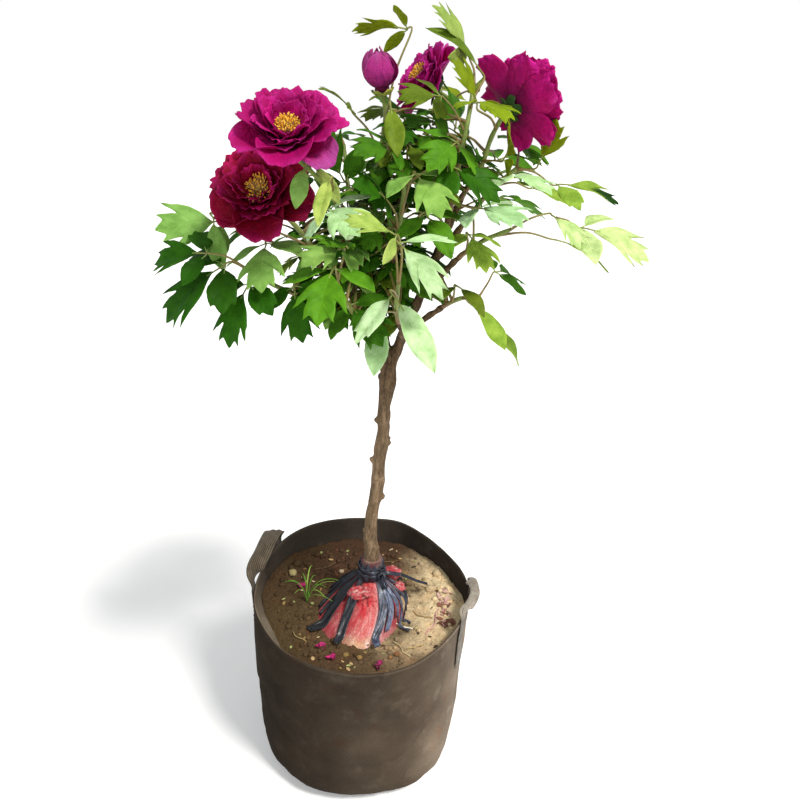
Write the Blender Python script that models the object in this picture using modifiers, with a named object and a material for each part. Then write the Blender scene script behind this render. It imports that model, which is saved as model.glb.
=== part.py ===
"""A tree peony on one bare trunk, potted in a soft fabric grow bag. Metres, +Z up.

The origin is the middle of the bag's base, where it stands. The front looks along -Y.
"""

import math
import random
from collections import namedtuple

import bmesh
import bpy
from mathutils import Matrix, Vector
from mathutils.bvhtree import BVHTree

# Driving dimensions of the bag and of what fills it
BAG_HEIGHT = 0.350
BAG_RIM_RADIUS = 0.196
BAG_BASE_RADIUS = 0.187
BAG_FOOT = 0.045
RIM_SLOPE = 0.020
FABRIC = 0.003
SOIL_EDGE = 0.312
SOIL_RELIEF = 0.006
SOIL_TILT = 0.006
SOIL_CLEAR = 0.0013
GAP = 0.0003
ROUND_STEPS = 32
NECK_STEPS = 20

STRAP_WIDTH = 0.030
STRAP_THICKNESS = 0.0022
STRAP_OFF_WALL = 0.0002
HANDLE_LEG = (0.245, 0.300, 0.345, 0.364)
HANDLE_ARCH = 6
# Each handle's heading and half spread in degrees, how high its loop stands and how far it leans out
HANDLES = {"handle_left": (167, 16.5, 0.040, -0.009), "handle_right": (-7, 13.5, 0.014, 0.009)}

SQUARE = ((-1, -1), (1, -1), (1, 1), (-1, 1))

# The trunk's foot stands in the neck of the root ball, whose belly lies a little to the left and forward
TRUNK_FOOT = Vector((0.012, 0.0, 0.352))
BALL_MIDDLE = Vector((-0.004, -0.022, 0.0))
BALL_UPRIGHT = 0.350
BALL_RADIUS = 0.087
BALL_FLOOR = 0.245
BALL_BELLY = 0.298
NECK_FOOT = 0.376
NECK_RADIUS = 0.0200
NECK_TOP = 0.414
TIE_HEIGHT = 0.036
TIE_MIDDLE = 0.3955
TIE_THICKNESS = 0.0050
TRUNK_RADIUS = 0.0130

# Wood: each route starts inside the one that bears it and ends in a flat cap
TRUNK = (
    TRUNK_FOOT + Vector((0, 0, GAP)), (0.012, 0.0, 0.418), (0.0075, 0.0, 0.458), (0.008, 0.0, 0.500),
    (0.015, 0.0, 0.562), (0.016, 0.0, 0.613), (0.021, 0.0, 0.668), (0.020, 0.0, 0.715),
    (0.024, 0.0, 0.755), (0.023, 0.0, 0.790),
)
TRUNK_RADII = (0.0130, 0.0130, 0.0118, 0.0110, 0.0106, 0.0112, 0.0100, 0.0104, 0.0128, 0.0110)
LIMB_END_RADIUS = 0.0050
LIMBS = (
    (0.0100, ((0.023, 0.000, 0.770), (0.005, -0.005, 0.822), (-0.022, -0.010, 0.857),
              (-0.048, -0.020, 0.888))),
    (0.0095, ((0.023, 0.000, 0.775), (0.012, 0.012, 0.840), (-0.004, 0.020, 0.900), (-0.012, 0.022, 0.955))),
    (0.0095, ((0.023, 0.000, 0.775), (0.045, 0.005, 0.840), (0.066, 0.005, 0.900), (0.082, 0.002, 0.955))),
)
SHOOT_RADIUS = 0.0036
STALK_RADIUS = 0.0013

# Blooms: middle of the base, axis, petal length, seed
Bloom = namedtuple("Bloom", "base axis reach seed")
BLOOMS = {
    "bloom_upper_left": Bloom((-0.104, -0.160, 1.118), (0.05, -0.54, 0.84), 0.065, 3),
    "bloom_lower_left": Bloom((-0.150, -0.078, 1.042), (-0.20, -0.84, 0.46), 0.070, 5),
    "bloom_top": Bloom((0.069, 0.100, 1.188), (-0.78, -0.24, 0.54), 0.056, 7),
    "bloom_right": Bloom((0.168, -0.014, 1.168), (0.62, 0.62, 0.30), 0.070, 11),
}
BUD_BASE = (-0.003, -0.020, 1.181)
BUD_AXIS = (-0.18, -0.12, 1.0)
CORE_HEIGHT = 0.020
CORE_RADIUS = 0.011

# Shoots: the limb that bears each one, then its own route to the tip or to a bloom's base
Shoot = namedtuple("Shoot", "limb route bloom")
SHOOTS = {
    "shoot_bloom_lower_left": Shoot(
        ((-0.040, -0.017, 0.878), (-0.062, -0.040, 0.915), (-0.076, -0.050, 0.945)),
        ((-0.098, -0.050, 0.985), (-0.128, -0.054, 1.018)), "bloom_lower_left"),
    "shoot_bloom_upper_left": Shoot(
        ((-0.022, -0.010, 0.857), (-0.034, -0.022, 0.905), (-0.046, -0.038, 0.955)),
        ((-0.050, -0.060, 1.005), (-0.056, -0.102, 1.052), (-0.082, -0.142, 1.090)), "bloom_upper_left"),
    "shoot_left_low": Shoot(
        ((-0.040, -0.017, 0.878), (-0.080, -0.040, 0.892), (-0.108, -0.060, 0.908)),
        ((-0.135, -0.082, 0.925), (-0.160, -0.102, 0.945)), None),
    "shoot_left_back": Shoot(
        ((-0.045, -0.020, 0.885), (-0.075, 0.005, 0.915), (-0.098, 0.030, 0.945)),
        ((-0.118, 0.055, 0.985), (-0.135, 0.080, 1.030)), None),
    "shoot_bud": Shoot(
        ((-0.012, 0.022, 0.950), (-0.012, 0.018, 1.000), (-0.008, 0.010, 1.045)),
        ((-0.003, -0.004, 1.100), (0.002, -0.015, 1.150)), "bud"),
    "shoot_bloom_top": Shoot(
        ((-0.012, 0.022, 0.950), (0.010, 0.046, 1.000), (0.030, 0.066, 1.045)),
        ((0.056, 0.088, 1.095), (0.084, 0.106, 1.140), (0.092, 0.110, 1.170)), "bloom_top"),
    "shoot_back_left": Shoot(
        ((-0.008, 0.021, 0.925), (-0.030, 0.050, 0.965), (-0.046, 0.078, 1.005)),
        ((-0.058, 0.104, 1.050), (-0.066, 0.124, 1.100)), None),
    "shoot_back_low": Shoot(
        ((0.006, 0.015, 0.862), (0.010, 0.060, 0.900), (0.016, 0.096, 0.940)),
        ((0.022, 0.130, 0.980), (0.028, 0.150, 1.030)), None),
    "shoot_front_left": Shoot(
        ((0.000, -0.006, 0.830), (-0.012, -0.044, 0.860), (-0.022, -0.080, 0.886)),
        ((-0.034, -0.112, 0.915), (-0.046, -0.138, 0.948)), None),
    "shoot_bloom_right": Shoot(
        ((0.080, 0.002, 0.950), (0.098, 0.002, 1.000), (0.114, 0.002, 1.046)),
        ((0.138, 0.002, 1.090), (0.148, -0.001, 1.130)), "bloom_right"),
    "shoot_top": Shoot(
        ((0.081, 0.002, 0.945), (0.092, -0.022, 0.990), (0.098, -0.038, 1.035)),
        ((0.104, -0.044, 1.095), (0.112, -0.030, 1.150), (0.118, 0.000, 1.195)), None),
    "shoot_right_low": Shoot(
        ((0.043, 0.005, 0.835), (0.072, -0.014, 0.868), (0.100, -0.028, 0.895)),
        ((0.126, -0.036, 0.912), (0.148, -0.040, 0.912)), None),
    "shoot_right_middle": Shoot(
        ((0.066, 0.005, 0.900), (0.094, -0.018, 0.940), (0.118, -0.034, 0.972)),
        ((0.148, -0.050, 1.000), (0.180, -0.060, 1.018)), None),
    "shoot_right_upper": Shoot(
        ((0.080, 0.002, 0.948), (0.108, 0.024, 0.985), (0.132, 0.030, 1.020)),
        ((0.160, 0.026, 1.060), (0.190, 0.012, 1.092)), None),
    "shoot_right_back": Shoot(
        ((0.064, 0.005, 0.895), (0.084, 0.046, 0.935), (0.100, 0.080, 0.975)),
        ((0.118, 0.108, 1.015), (0.134, 0.128, 1.060)), None),
    "shoot_front_right": Shoot(
        ((0.040, 0.004, 0.826), (0.042, -0.040, 0.856), (0.036, -0.080, 0.884)),
        ((0.032, -0.112, 0.918), (0.034, -0.136, 0.955)), None),
    "shoot_middle": Shoot(
        ((0.000, 0.018, 0.885), (0.014, -0.014, 0.925), (0.022, -0.040, 0.965)),
        ((0.030, -0.062, 1.015), (0.034, -0.072, 1.070)), None),
}

# Leaves: where along the shoot the stalk starts (None: at the leaf before), joint, tip, leaflets
Leaf = namedtuple("Leaf", "start joint tip leaflets")
LEAVES = {
    "shoot_bloom_lower_left": (
        Leaf(0.30, (-0.230, -0.045, 1.002), (-0.300, -0.080, 0.992), "three"),
        Leaf(0.05, (-0.148, -0.098, 0.980), (-0.142, -0.155, 0.935), "three"),
        Leaf(0.60, (-0.170, 0.000, 1.030), (-0.225, 0.035, 1.020), "three"),
    ),
    "shoot_bloom_upper_left": (
        Leaf(0.55, (-0.050, -0.215, 1.085), (-0.055, -0.265, 1.045), "one"),
        Leaf(0.30, (-0.055, -0.130, 1.040), (-0.015, -0.180, 1.020), "three"),
        Leaf(0.20, (-0.060, 0.010, 1.070), (-0.085, 0.040, 1.125), "three"),
        Leaf(0.12, (-0.038, -0.130, 1.000), (-0.072, -0.180, 1.012), "right"),
    ),
    "shoot_left_low": (
        Leaf(0.55, (-0.213, -0.120, 0.950), (-0.269, -0.150, 0.879), "three"),
        Leaf(1.00, (-0.172, -0.125, 0.925), (-0.188, -0.150, 0.855), "three"),
        Leaf(0.10, (-0.105, -0.115, 0.925), (-0.090, -0.140, 0.865), "three"),
    ),
    "shoot_bud": (
        Leaf(0.70, (0.012, -0.080, 1.160), (0.024, -0.120, 1.108), "one"),
        Leaf(0.40, (-0.048, -0.020, 1.160), (-0.086, -0.036, 1.180), "left"),
        Leaf(0.60, (0.012, 0.030, 1.260), (-0.048, 0.012, 1.250), "three"),
    ),
    "shoot_bloom_top": (
        Leaf(0.70, (0.080, 0.170, 1.190), (0.075, 0.230, 1.185), "three"),
        Leaf(0.30, (0.020, 0.140, 1.150), (-0.015, 0.190, 1.165), "three"),
        Leaf(0.85, (0.135, 0.110, 1.200), (0.190, 0.130, 1.215), "three"),
        Leaf(0.60, (0.060, 0.030, 1.150), (0.030, -0.010, 1.135), "three"),
    ),
    "shoot_front_left": (
        Leaf(0.85, (-0.048, -0.200, 0.977), (-0.056, -0.262, 0.930), "three"),
        Leaf(0.45, (-0.020, -0.170, 0.925), (0.020, -0.205, 0.890), "three"),
        Leaf(1.00, (-0.045, -0.165, 1.000), (-0.090, -0.205, 0.990), "three"),
    ),
    "shoot_bloom_right": (
        Leaf(0.80, (0.118, -0.052, 1.180), (0.082, -0.068, 1.222), "one"),
        Leaf(0.45, (0.165, -0.055, 1.115), (0.158, -0.095, 1.150), "left"),
        Leaf(0.55, (0.180, 0.075, 1.100), (0.230, 0.120, 1.090), "three"),
        Leaf(0.30, (0.140, 0.060, 1.090), (0.120, 0.110, 1.120), "three"),
    ),
    "shoot_top": (
        Leaf(1.00, (0.103, 0.015, 1.242), (0.055, 0.000, 1.285), "left"),
        Leaf(0.80, (0.125, -0.075, 1.175), (0.160, -0.118, 1.152), "three"),
        Leaf(0.60, (0.066, -0.030, 1.180), (0.018, -0.050, 1.172), "three"),
        Leaf(0.35, (0.092, -0.095, 1.125), (0.060, -0.140, 1.095), "three"),
        Leaf(0.50, (0.100, 0.030, 1.150), (0.085, 0.080, 1.190), "three"),
    ),
    "shoot_right_low": (
        Leaf(1.00, (0.172, -0.040, 0.878), (0.221, -0.045, 0.815), "right"),
        Leaf(0.60, (0.148, -0.072, 0.905), (0.180, -0.085, 0.845), "one"),
        Leaf(0.30, (0.120, -0.090, 0.940), (0.150, -0.135, 0.915), "three"),
    ),
    "shoot_right_middle": (
        Leaf(1.00, (0.238, -0.075, 1.040), (0.266, -0.118, 1.008), "one"),
        Leaf(None, (0.292, -0.070, 1.026), (0.368, -0.085, 0.990), "three"),
        Leaf(0.75, (0.262, -0.040, 1.002), (0.328, -0.050, 0.965), "three"),
        Leaf(0.30, (0.138, -0.100, 1.050), (0.185, -0.145, 1.035), "three"),
        Leaf(0.15, (0.128, -0.085, 1.008), (0.148, -0.125, 0.972), "three"),
    ),
    "shoot_right_upper": (
        Leaf(1.00, (0.263, 0.000, 1.075), (0.338, 0.000, 1.052), "three"),
        Leaf(0.90, (0.225, 0.020, 1.108), (0.222, -0.020, 1.155), "one"),
        Leaf(0.50, (0.180, -0.045, 1.085), (0.225, -0.090, 1.070), "three"),
        Leaf(0.60, (0.235, 0.070, 1.060), (0.290, 0.105, 1.035), "three"),
    ),
    "shoot_front_right": (
        Leaf(0.70, (0.038, -0.200, 0.944), (0.085, -0.246, 0.875), "three"),
        Leaf(0.90, (0.040, -0.195, 1.012), (0.088, -0.250, 0.968), "three"),
        Leaf(0.30, (0.012, -0.165, 0.905), (0.010, -0.205, 0.850), "three"),
        Leaf(1.00, (0.020, -0.185, 1.030), (-0.035, -0.215, 1.045), "left"),
    ),
    "shoot_middle": (
        Leaf(0.60, (0.053, -0.120, 1.085), (0.082, -0.168, 1.045), "three"),
        Leaf(0.20, (0.069, -0.115, 1.035), (0.098, -0.160, 0.995), "three"),
        Leaf(1.00, (0.008, -0.100, 1.120), (-0.030, -0.140, 1.108), "three"),
        Leaf(0.40, (0.005, -0.110, 1.062), (-0.030, -0.150, 1.075), "three"),
    ),
}
# Shoots at the back carry leaves by rule, fanned to both sides: how many, and the fan's heading in degrees
RULED_LEAVES = {
    "shoot_left_back": (4, 151), "shoot_back_left": (4, 122), "shoot_back_low": (4, 84),
    "shoot_right_back": (4, 46), "shoot_left_low": (1, 120), "shoot_right_low": (1, -10),
    "shoot_bud": (1, 80), "shoot_middle": (1, 260), "shoot_right_upper": (1, 10),
}
RULED_STALK = 0.075
RULED_LEAFLET = 0.068
RULED_RISE = 0.028
RULED_FAN = math.radians(70)

# A leaf is one blade cut to the rib: stations along its rib, how far the vein there runs to the edge, the
# vein's lean from the rib in degrees, and how far the edge is lifted, in parts of the end leaflet's length
Station = namedtuple("Station", "along reach lean lift")
SIDE_LEAFLETS = (
    Station(-0.25, 0.42, 92, -0.02), Station(-0.20, 0.84, 62, -0.16), Station(-0.14, 0.48, 33, -0.02),
)
END_LEAFLET = (
    Station(0.26, 0.56, 50, 0.13), Station(0.34, 0.27, 50, 0.07), Station(0.54, 0.32, 50, 0.06),
)
SEPAL = (Station(0.40, 0.38, 60, 0.02),)
STALK_END = -0.29
RIB_THICKNESS = 0.0014
LEAF_DROOP = math.radians(34)
# Turns and tilts in degrees that a leaf tries, in this order, to hang clear of its neighbours
TURNS = ((0, 0), (10, 0), (-10, 0), (0, 12), (0, -12), (20, 0), (-20, 0), (14, 14), (-14, 14), (14, -14),
         (-14, -14), (32, 0), (-32, 0), (0, 26), (0, -26), (26, 20), (-26, 20), (26, -20), (-26, -20))
BOWS = (0.10, 0.22, -0.06)

# Petal rings of an open bloom: count, length and width in parts of the reach, lean at claw and tip in
# degrees, and where on the core the claws are, out and up
PETAL_RINGS = (
    (5, 1.00, 1.00, 68, 84, 0.0088, 0.0040),
    (4, 0.90, 0.94, 46, 62, 0.0086, 0.0085),
    (3, 0.74, 0.68, 26, 34, 0.0084, 0.0125),
)
PETAL_SHAPE = (0.16, 1.00, 0.66)
BUD_SHAPE = (0.22, 0.95, 1.00, 0.40)
PETAL_TILT = 0.0034
PETAL_THICKNESS = 0.0011
PETAL_ROUND = 0.16
BUD_RINGS = ((3, 0.042, 0.039, 58, -34, 0.0070, 0.0050), (2, 0.040, 0.029, 34, -24, 0.0066, 0.0105))
SEPALS = 5
SEPAL_LENGTH = 0.024

GRASS_ROOT = Vector((-0.104, -0.006, 0.0))
GRASS_BLADES = ((-15, 0.060, 0.036), (80, 0.075, 0.034), (190, 0.062, 0.040))
GRASS_WIDTH = 0.0030


# Scene, materials and mesh helpers
def clear_scene():
    for obj in list(bpy.data.objects):
        bpy.data.objects.remove(obj)


def new_collection(name):
    collection = bpy.data.collections.new(name)
    bpy.context.scene.collection.children.link(collection)
    return collection


def new_material(name, colour, roughness):
    made = bpy.data.materials.new(name)
    made.use_nodes = True
    shader = made.node_tree.nodes["Principled BSDF"]
    shader.inputs["Base Color"].default_value = (*colour, 1.0)
    shader.inputs["Roughness"].default_value = roughness
    shader.inputs["Metallic"].default_value = 0.0
    return made


def mesh_object(name, points, faces, collection):
    mesh = bpy.data.meshes.new(name)
    mesh.from_pydata([tuple(point) for point in points], [], faces)
    obj = bpy.data.objects.new(name, mesh)
    collection.objects.link(obj)
    return obj


def applied(obj, weld=True):
    """The object's modifiers, or its curve, turned into a plain mesh, welded unless it came from a join."""
    graph = bpy.context.evaluated_depsgraph_get()
    mesh = bpy.data.meshes.new_from_object(obj.evaluated_get(graph))
    if weld:
        shaped = bmesh.new()
        shaped.from_mesh(mesh)
        bmesh.ops.remove_doubles(shaped, verts=shaped.verts, dist=1e-5)
        bmesh.ops.recalc_face_normals(shaped, faces=shaped.faces)
        shaped.to_mesh(mesh)
        shaped.free()
    name, home = obj.name, obj.users_collection[0]
    bpy.data.objects.remove(obj)
    made = bpy.data.objects.new(name, mesh)
    home.objects.link(made)
    return made


def turned(name, profile, collection, steps=ROUND_STEPS):
    """A turned solid: the profile runs at +X from the axis at the top to the axis at the bottom."""
    edges = [(i, i + 1) for i in range(len(profile) - 1)]
    mesh = bpy.data.meshes.new(name)
    mesh.from_pydata([(radius, 0.0, height) for radius, height in profile], edges, [])
    obj = bpy.data.objects.new(name, mesh)
    collection.objects.link(obj)
    screw = obj.modifiers.new("Turn", "SCREW")
    screw.steps = steps
    screw.render_steps = steps
    screw.use_merge_vertices = True
    screw.merge_threshold = 0.0001
    return applied(obj)


def tube(name, points, radii, collection, resolution=1):
    """A round stem through the points, with flat ends."""
    curve = bpy.data.curves.new(name, "CURVE")
    curve.dimensions = "3D"
    curve.bevel_depth = 1.0
    curve.bevel_resolution = resolution
    curve.use_fill_caps = True
    spline = curve.splines.new("POLY")
    spline.points.add(len(points) - 1)
    for knot, point, radius in zip(spline.points, points, radii):
        knot.co = (*point, 1.0)
        knot.radius = radius
    obj = bpy.data.objects.new(name, curve)
    collection.objects.link(obj)
    return applied(obj)


def union(name, pieces, home, solver="MANIFOLD"):
    """All the pieces, which overlap, as one solid."""
    joined = new_collection("pieces of " + name)
    first, others = pieces[0], pieces[1:]
    for piece in others:
        for collection in list(piece.users_collection):
            collection.objects.unlink(piece)
        joined.objects.link(piece)
    if others:
        join = first.modifiers.new("Join", "BOOLEAN")
        join.operation = "UNION"
        join.operand_type = "COLLECTION"
        join.collection = joined
        join.solver = solver
        first = applied(first, weld=False)
        main_body(first)
    for piece in list(joined.objects):
        bpy.data.objects.remove(piece)
    bpy.data.collections.remove(joined)
    first.name = name
    for collection in list(first.users_collection):
        collection.objects.unlink(first)
    home.objects.link(first)
    return first


def main_body(obj):
    """Keeps the largest closed body of a mesh: loose scraps and sealed hollows go."""
    shaped = bmesh.new()
    shaped.from_mesh(obj.data)
    left, bodies = set(shaped.faces), []
    while left:
        body, reached = [], [left.pop()]
        while reached:
            face = reached.pop()
            body.append(face)
            near = {other for edge in face.edges for other in edge.link_faces} & left
            left -= near
            reached += near
        bodies.append(body)
    bodies.sort(key=len)
    scraps = [face for body in bodies[:-1] for face in body]
    bmesh.ops.delete(shaped, geom=scraps, context="FACES")
    shaped.to_mesh(obj.data)
    shaped.free()


def tree_of(obj):
    mesh = obj.data
    return BVHTree.FromPolygons([v.co for v in mesh.vertices], [tuple(p.vertices) for p in mesh.polygons])


def smooth_route(points, parts=2):
    """A Catmull-Rom curve through the points, with this many parts between two of them."""
    knots = [Vector(point) for point in points]
    knots = [2 * knots[0] - knots[1], *knots, 2 * knots[-1] - knots[-2]]
    route = []
    for a, b, c, d in zip(knots, knots[1:], knots[2:], knots[3:]):
        for step in range(parts):
            t = step / parts
            route.append(0.5 * (2 * b + (c - a) * t + (2 * a - 5 * b + 4 * c - d) * t**2
                                + (3 * b - a - 3 * c + d) * t**3))
    return [*route, knots[-2]]


def along(route, part):
    """The point at this part of the route's length."""
    steps = [(b - a).length for a, b in zip(route, route[1:])]
    left = part * sum(steps)
    for a, b, step in zip(route, route[1:], steps):
        if left <= step:
            return a.lerp(b, left / step)
        left -= step
    return route[-1].copy()


# The bag, its handles and its fill
def blend(value, low, high):
    part = min(1.0, max(0.0, (value - low) / (high - low)))
    return part * part * (3 - 2 * part)


def wall_radius(height):
    """The bag's outer radius before it is crumpled: a rounded foot, then a straight taper."""
    taper = BAG_BASE_RADIUS + (BAG_RIM_RADIUS - BAG_BASE_RADIUS) * height / BAG_HEIGHT
    below = max(0.0, BAG_FOOT - height)
    return taper - (BAG_FOOT - math.sqrt(BAG_FOOT**2 - below**2))


def gathered(obj):
    """Moves a solid turned round the origin to the root ball, which leans from its belly to its neck."""
    foot = Vector((TRUNK_FOOT.x, TRUNK_FOOT.y, 0.0))
    for vertex in obj.data.vertices:
        vertex.co += BALL_MIDDLE.lerp(foot, blend(vertex.co.z, BALL_BELLY, BALL_UPRIGHT))


def crumpled(angle, height):
    """How far the soft wall stands out there, and how far its rim rises."""
    upper = blend(height, 0.06, 0.34)
    lower = 1 - blend(height, 0.01, 0.09)
    out = upper * (0.0035 * math.sin(2 * angle + 0.6) + 0.0018 * math.sin(5 * angle + 2.0))
    out += lower * 0.004 * (math.cos(4 * angle + 2.8) - 1) - upper * 0.007 * math.cos(angle)
    slope = RIM_SLOPE * math.sin(angle) + 0.002 * math.sin(3 * angle + 1.0)
    return out, slope * blend(height, SOIL_EDGE, BAG_HEIGHT)


def crumple(obj):
    for vertex in obj.data.vertices:
        x, y, z = vertex.co
        radius = math.hypot(x, y)
        if radius > 1e-6:
            angle = math.atan2(y, x)
            out, rise = crumpled(angle, z)
            share = blend(radius, 0.68 * BAG_BASE_RADIUS, 0.9 * BAG_BASE_RADIUS)
            scale = (radius + out * share) / radius
            vertex.co = (x * scale, y * scale, z + rise * share)


def wall_point(angle, height, off=0.0):
    out, rise = crumpled(angle, min(height, BAG_HEIGHT))
    radius = wall_radius(min(height, BAG_HEIGHT)) + out + off
    return Vector((radius * math.cos(angle), radius * math.sin(angle), height + rise))


WALL_LEVELS = (BAG_HEIGHT, 0.332, SOIL_EDGE, 0.200, 0.100, BAG_FOOT, 0.026, 0.011)


def grow_bag(home):
    outer = [(wall_radius(z), z) for z in WALL_LEVELS]
    inner = [(radius - FABRIC, z) for radius, z in outer]
    floor = [(0.0, FABRIC), (wall_radius(0.0) + 0.001, FABRIC)]
    profile = [*floor, *reversed(inner), *outer, (wall_radius(0.0), 0.0), (0.0, 0.0)]
    bag = turned("grow_bag", profile, home)
    crumple(bag)
    return bag


def soil(home):
    """The fill: relief on top, a flat floored hollow for the root ball."""
    inset = FABRIC + SOIL_CLEAR
    wall = [(wall_radius(z) - inset, z) for z in WALL_LEVELS if z <= SOIL_EDGE]
    hole = BALL_RADIUS + SOIL_CLEAR
    top = [(0.0, BALL_FLOOR - GAP), (hole, BALL_FLOOR - GAP), (hole, SOIL_EDGE - 0.004)]
    top += [(radius, SOIL_EDGE) for radius in (0.106, 0.127, 0.148, 0.170)]
    foot = FABRIC + GAP
    fill = turned("soil", [*top, *wall, (wall_radius(0.0), foot), (0.0, foot)], home)
    draw = random.Random(21)
    for vertex in fill.data.vertices:
        x, y, z = vertex.co
        radius = math.hypot(x, y)
        if z >= SOIL_EDGE - 0.005:
            vertex.co.z += SOIL_TILT * y / BAG_RIM_RADIUS
            if hole + 0.002 < radius < 0.185:
                vertex.co.z += SOIL_RELIEF * (draw.random() - 0.45)
    crumple(fill)
    for vertex in fill.data.vertices:
        radius = math.hypot(vertex.co.x, vertex.co.y)
        if vertex.co.z >= BALL_FLOOR - 2 * GAP:
            vertex.co += BALL_MIDDLE * (1 - blend(radius, hole, BAG_BASE_RADIUS - 0.006))
    return fill


def handle(name, home):
    """A strap sewn to the wall at both ends, its loop turned flat side up over the rim."""
    heading, half_spread, height, lean = HANDLES[name]
    middle, spread = math.radians(heading), math.radians(half_spread)
    half, thick = STRAP_WIDTH / 2, STRAP_THICKNESS / 2
    out = Vector((math.cos(middle), math.sin(middle), 0.0))
    up = Vector((0, 0, 1))
    stops = []
    for z in HANDLE_LEG:
        stops.append((middle - spread, z, 0.0, up))
    for step in range(1, HANDLE_ARCH):
        part = step / HANDLE_ARCH
        tangent = Vector((-out.y, out.x, 0.0))
        run = tangent * math.sin(math.pi * part) + up * math.cos(math.pi * part)
        angle = middle - spread * math.cos(math.pi * part)
        stops.append((angle, HANDLE_LEG[-1], math.sin(math.pi * part), run))
    for z in reversed(HANDLE_LEG):
        stops.append((middle + spread, z, 0.0, -up))
    corners = []
    for angle, z, swing, run in stops:
        centre = wall_point(angle, z, STRAP_OFF_WALL + thick)
        centre += up * height * swing + out * lean * swing * swing
        tangent = Vector((-math.sin(angle), math.cos(angle), 0.0))
        across = tangent * math.cos(0.5 * math.pi * swing) + out * math.sin(0.5 * math.pi * swing)
        across = (across - run * across.dot(run)).normalized()
        normal = run.cross(across)
        corners += [centre + across * half * u + normal * thick * v for u, v in SQUARE]
    return ringed(name, corners, 4, home)


def ringed(name, points, sides, home):
    """A closed solid through rings of this many points each, with flat ends."""
    rings = len(points) // sides
    faces = [tuple(reversed(range(sides))), tuple(range(len(points) - sides, len(points)))]
    for ring in range(rings - 1):
        for side in range(sides):
            a, b = ring * sides + side, ring * sides + (side + 1) % sides
            faces.append((a, b, b + sides, a + sides))
    obj = mesh_object(name, points, faces, home)
    return applied(obj)


# The root ball, wrapped and tied
def ball_radius(height):
    """The outside of the wrapped ball: upright to its belly, then a slightly bulging cone to the neck."""
    part = min(1.0, max(0.0, (height - BALL_BELLY) / (NECK_FOOT - BALL_BELLY)))
    return NECK_RADIUS + (BALL_RADIUS - NECK_RADIUS) * (1 - part) ** 0.9


BALL_LEVELS = (NECK_FOOT, 0.368, 0.354, 0.336, 0.318, BALL_BELLY, 0.282, BALL_FLOOR)


def root_ball(home):
    hole = TRUNK_RADIUS + 0.0010
    floor = TRUNK_FOOT.z
    profile = [(0.0, floor), (hole, floor), (hole, NECK_TOP), (NECK_RADIUS, NECK_TOP)]
    profile += [(ball_radius(z), z) for z in BALL_LEVELS]
    profile.append((0.0, BALL_FLOOR))
    ball = turned("root_ball", profile, home, steps=NECK_STEPS)
    gathered(ball)
    return ball


Strip = namedtuple("Strip", "heading width reach lift")
STRIPS = (
    Strip(172, 0.012, 0.052, 0.004), Strip(198, 0.016, 0.100, 0.002), Strip(222, 0.015, 0.100, 0.001),
    Strip(243, 0.014, 0.100, 0.003), Strip(287, 0.016, 0.100, 0.001), Strip(305, 0.014, 0.100, 0.003),
    Strip(327, 0.012, 0.100, 0.002), Strip(352, 0.010, 0.100, 0.012), Strip(30, 0.014, 0.100, 0.002),
    Strip(75, 0.015, 0.100, 0.002), Strip(125, 0.014, 0.100, 0.002),
)
STRIP_THICKNESS = 0.0012
STRIP_LEVELS = (0.350, 0.330, 0.311)


def strip(spec, home):
    """A loose strip from under the band, down over the ball."""
    heading = math.radians(spec.heading)
    out = Vector((math.cos(heading), math.sin(heading), 0.0))
    across = Vector((-out.y, out.x, 0.0))
    start = Vector((NECK_RADIUS + 0.5 * TIE_THICKNESS, 0.0, TIE_MIDDLE - 0.25 * TIE_HEIGHT))
    route = [start, Vector((ball_radius(0.370) + 0.0045, 0, 0.370))]
    for z in STRIP_LEVELS:
        radius = ball_radius(z) + 0.0034 + spec.lift
        route.append(Vector((radius, 0, z + 0.0020 + spec.lift)))
        if radius > spec.reach:
            break
    corners = []
    for i, here in enumerate(route):
        before, after = route[max(0, i - 1)], route[min(len(route) - 1, i + 1)]
        run = (after - before).normalized()
        run = out * run.x + Vector((0, 0, run.z))
        normal = run.cross(across)
        half = 0.5 * spec.width * (0.55 if i < 2 else 1.0)
        centre = out * here.x + Vector((0, 0, here.z))
        for u, v in SQUARE:
            corners.append(centre + across * half * u + normal * 0.5 * STRIP_THICKNESS * v)
    return ringed("strip", corners, 4, home)


def tie_and_strips(home):
    inner, outer = NECK_RADIUS + GAP, NECK_RADIUS + TIE_THICKNESS
    low, high = TIE_MIDDLE - TIE_HEIGHT / 2, TIE_MIDDLE + TIE_HEIGHT / 2
    band = turned("band", [(inner, low), (inner, high), (outer, high - 0.002), (outer + 0.001, TIE_MIDDLE),
                           (outer, low), (inner, low)], home, steps=NECK_STEPS)
    strips = [strip(spec, home) for spec in STRIPS]
    tied = union("tie_and_strips", [band, *strips], home)
    gathered(tied)
    return tied


# Wood
def trunk_and_limbs(home):
    trunk = tube("trunk", TRUNK, TRUNK_RADII, home, resolution=3)
    pieces = [trunk]
    for radius, points in LIMBS:
        route = smooth_route(points, 1)
        ends = [radius + (0.0065 - radius) * i / (len(route) - 1) for i in range(len(route))]
        pieces.append(tube("limb", route, ends, home))
    for shoot in SHOOTS.values():
        route = [Vector(point) for point in shoot.limb]
        pieces.append(tube("limb", route, (0.0062, 0.0056, LIMB_END_RADIUS), home))
    return union("trunk_and_limbs", pieces, home)


# Blooms
def bloom_frame(base, axis):
    """Moves a bloom from its own frame, axis along +Z, to its place."""
    turn = Vector((0, 0, 1)).rotation_difference(Vector(axis).normalized())
    return Matrix.Translation(base) @ turn.to_matrix().to_4x4()


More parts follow.
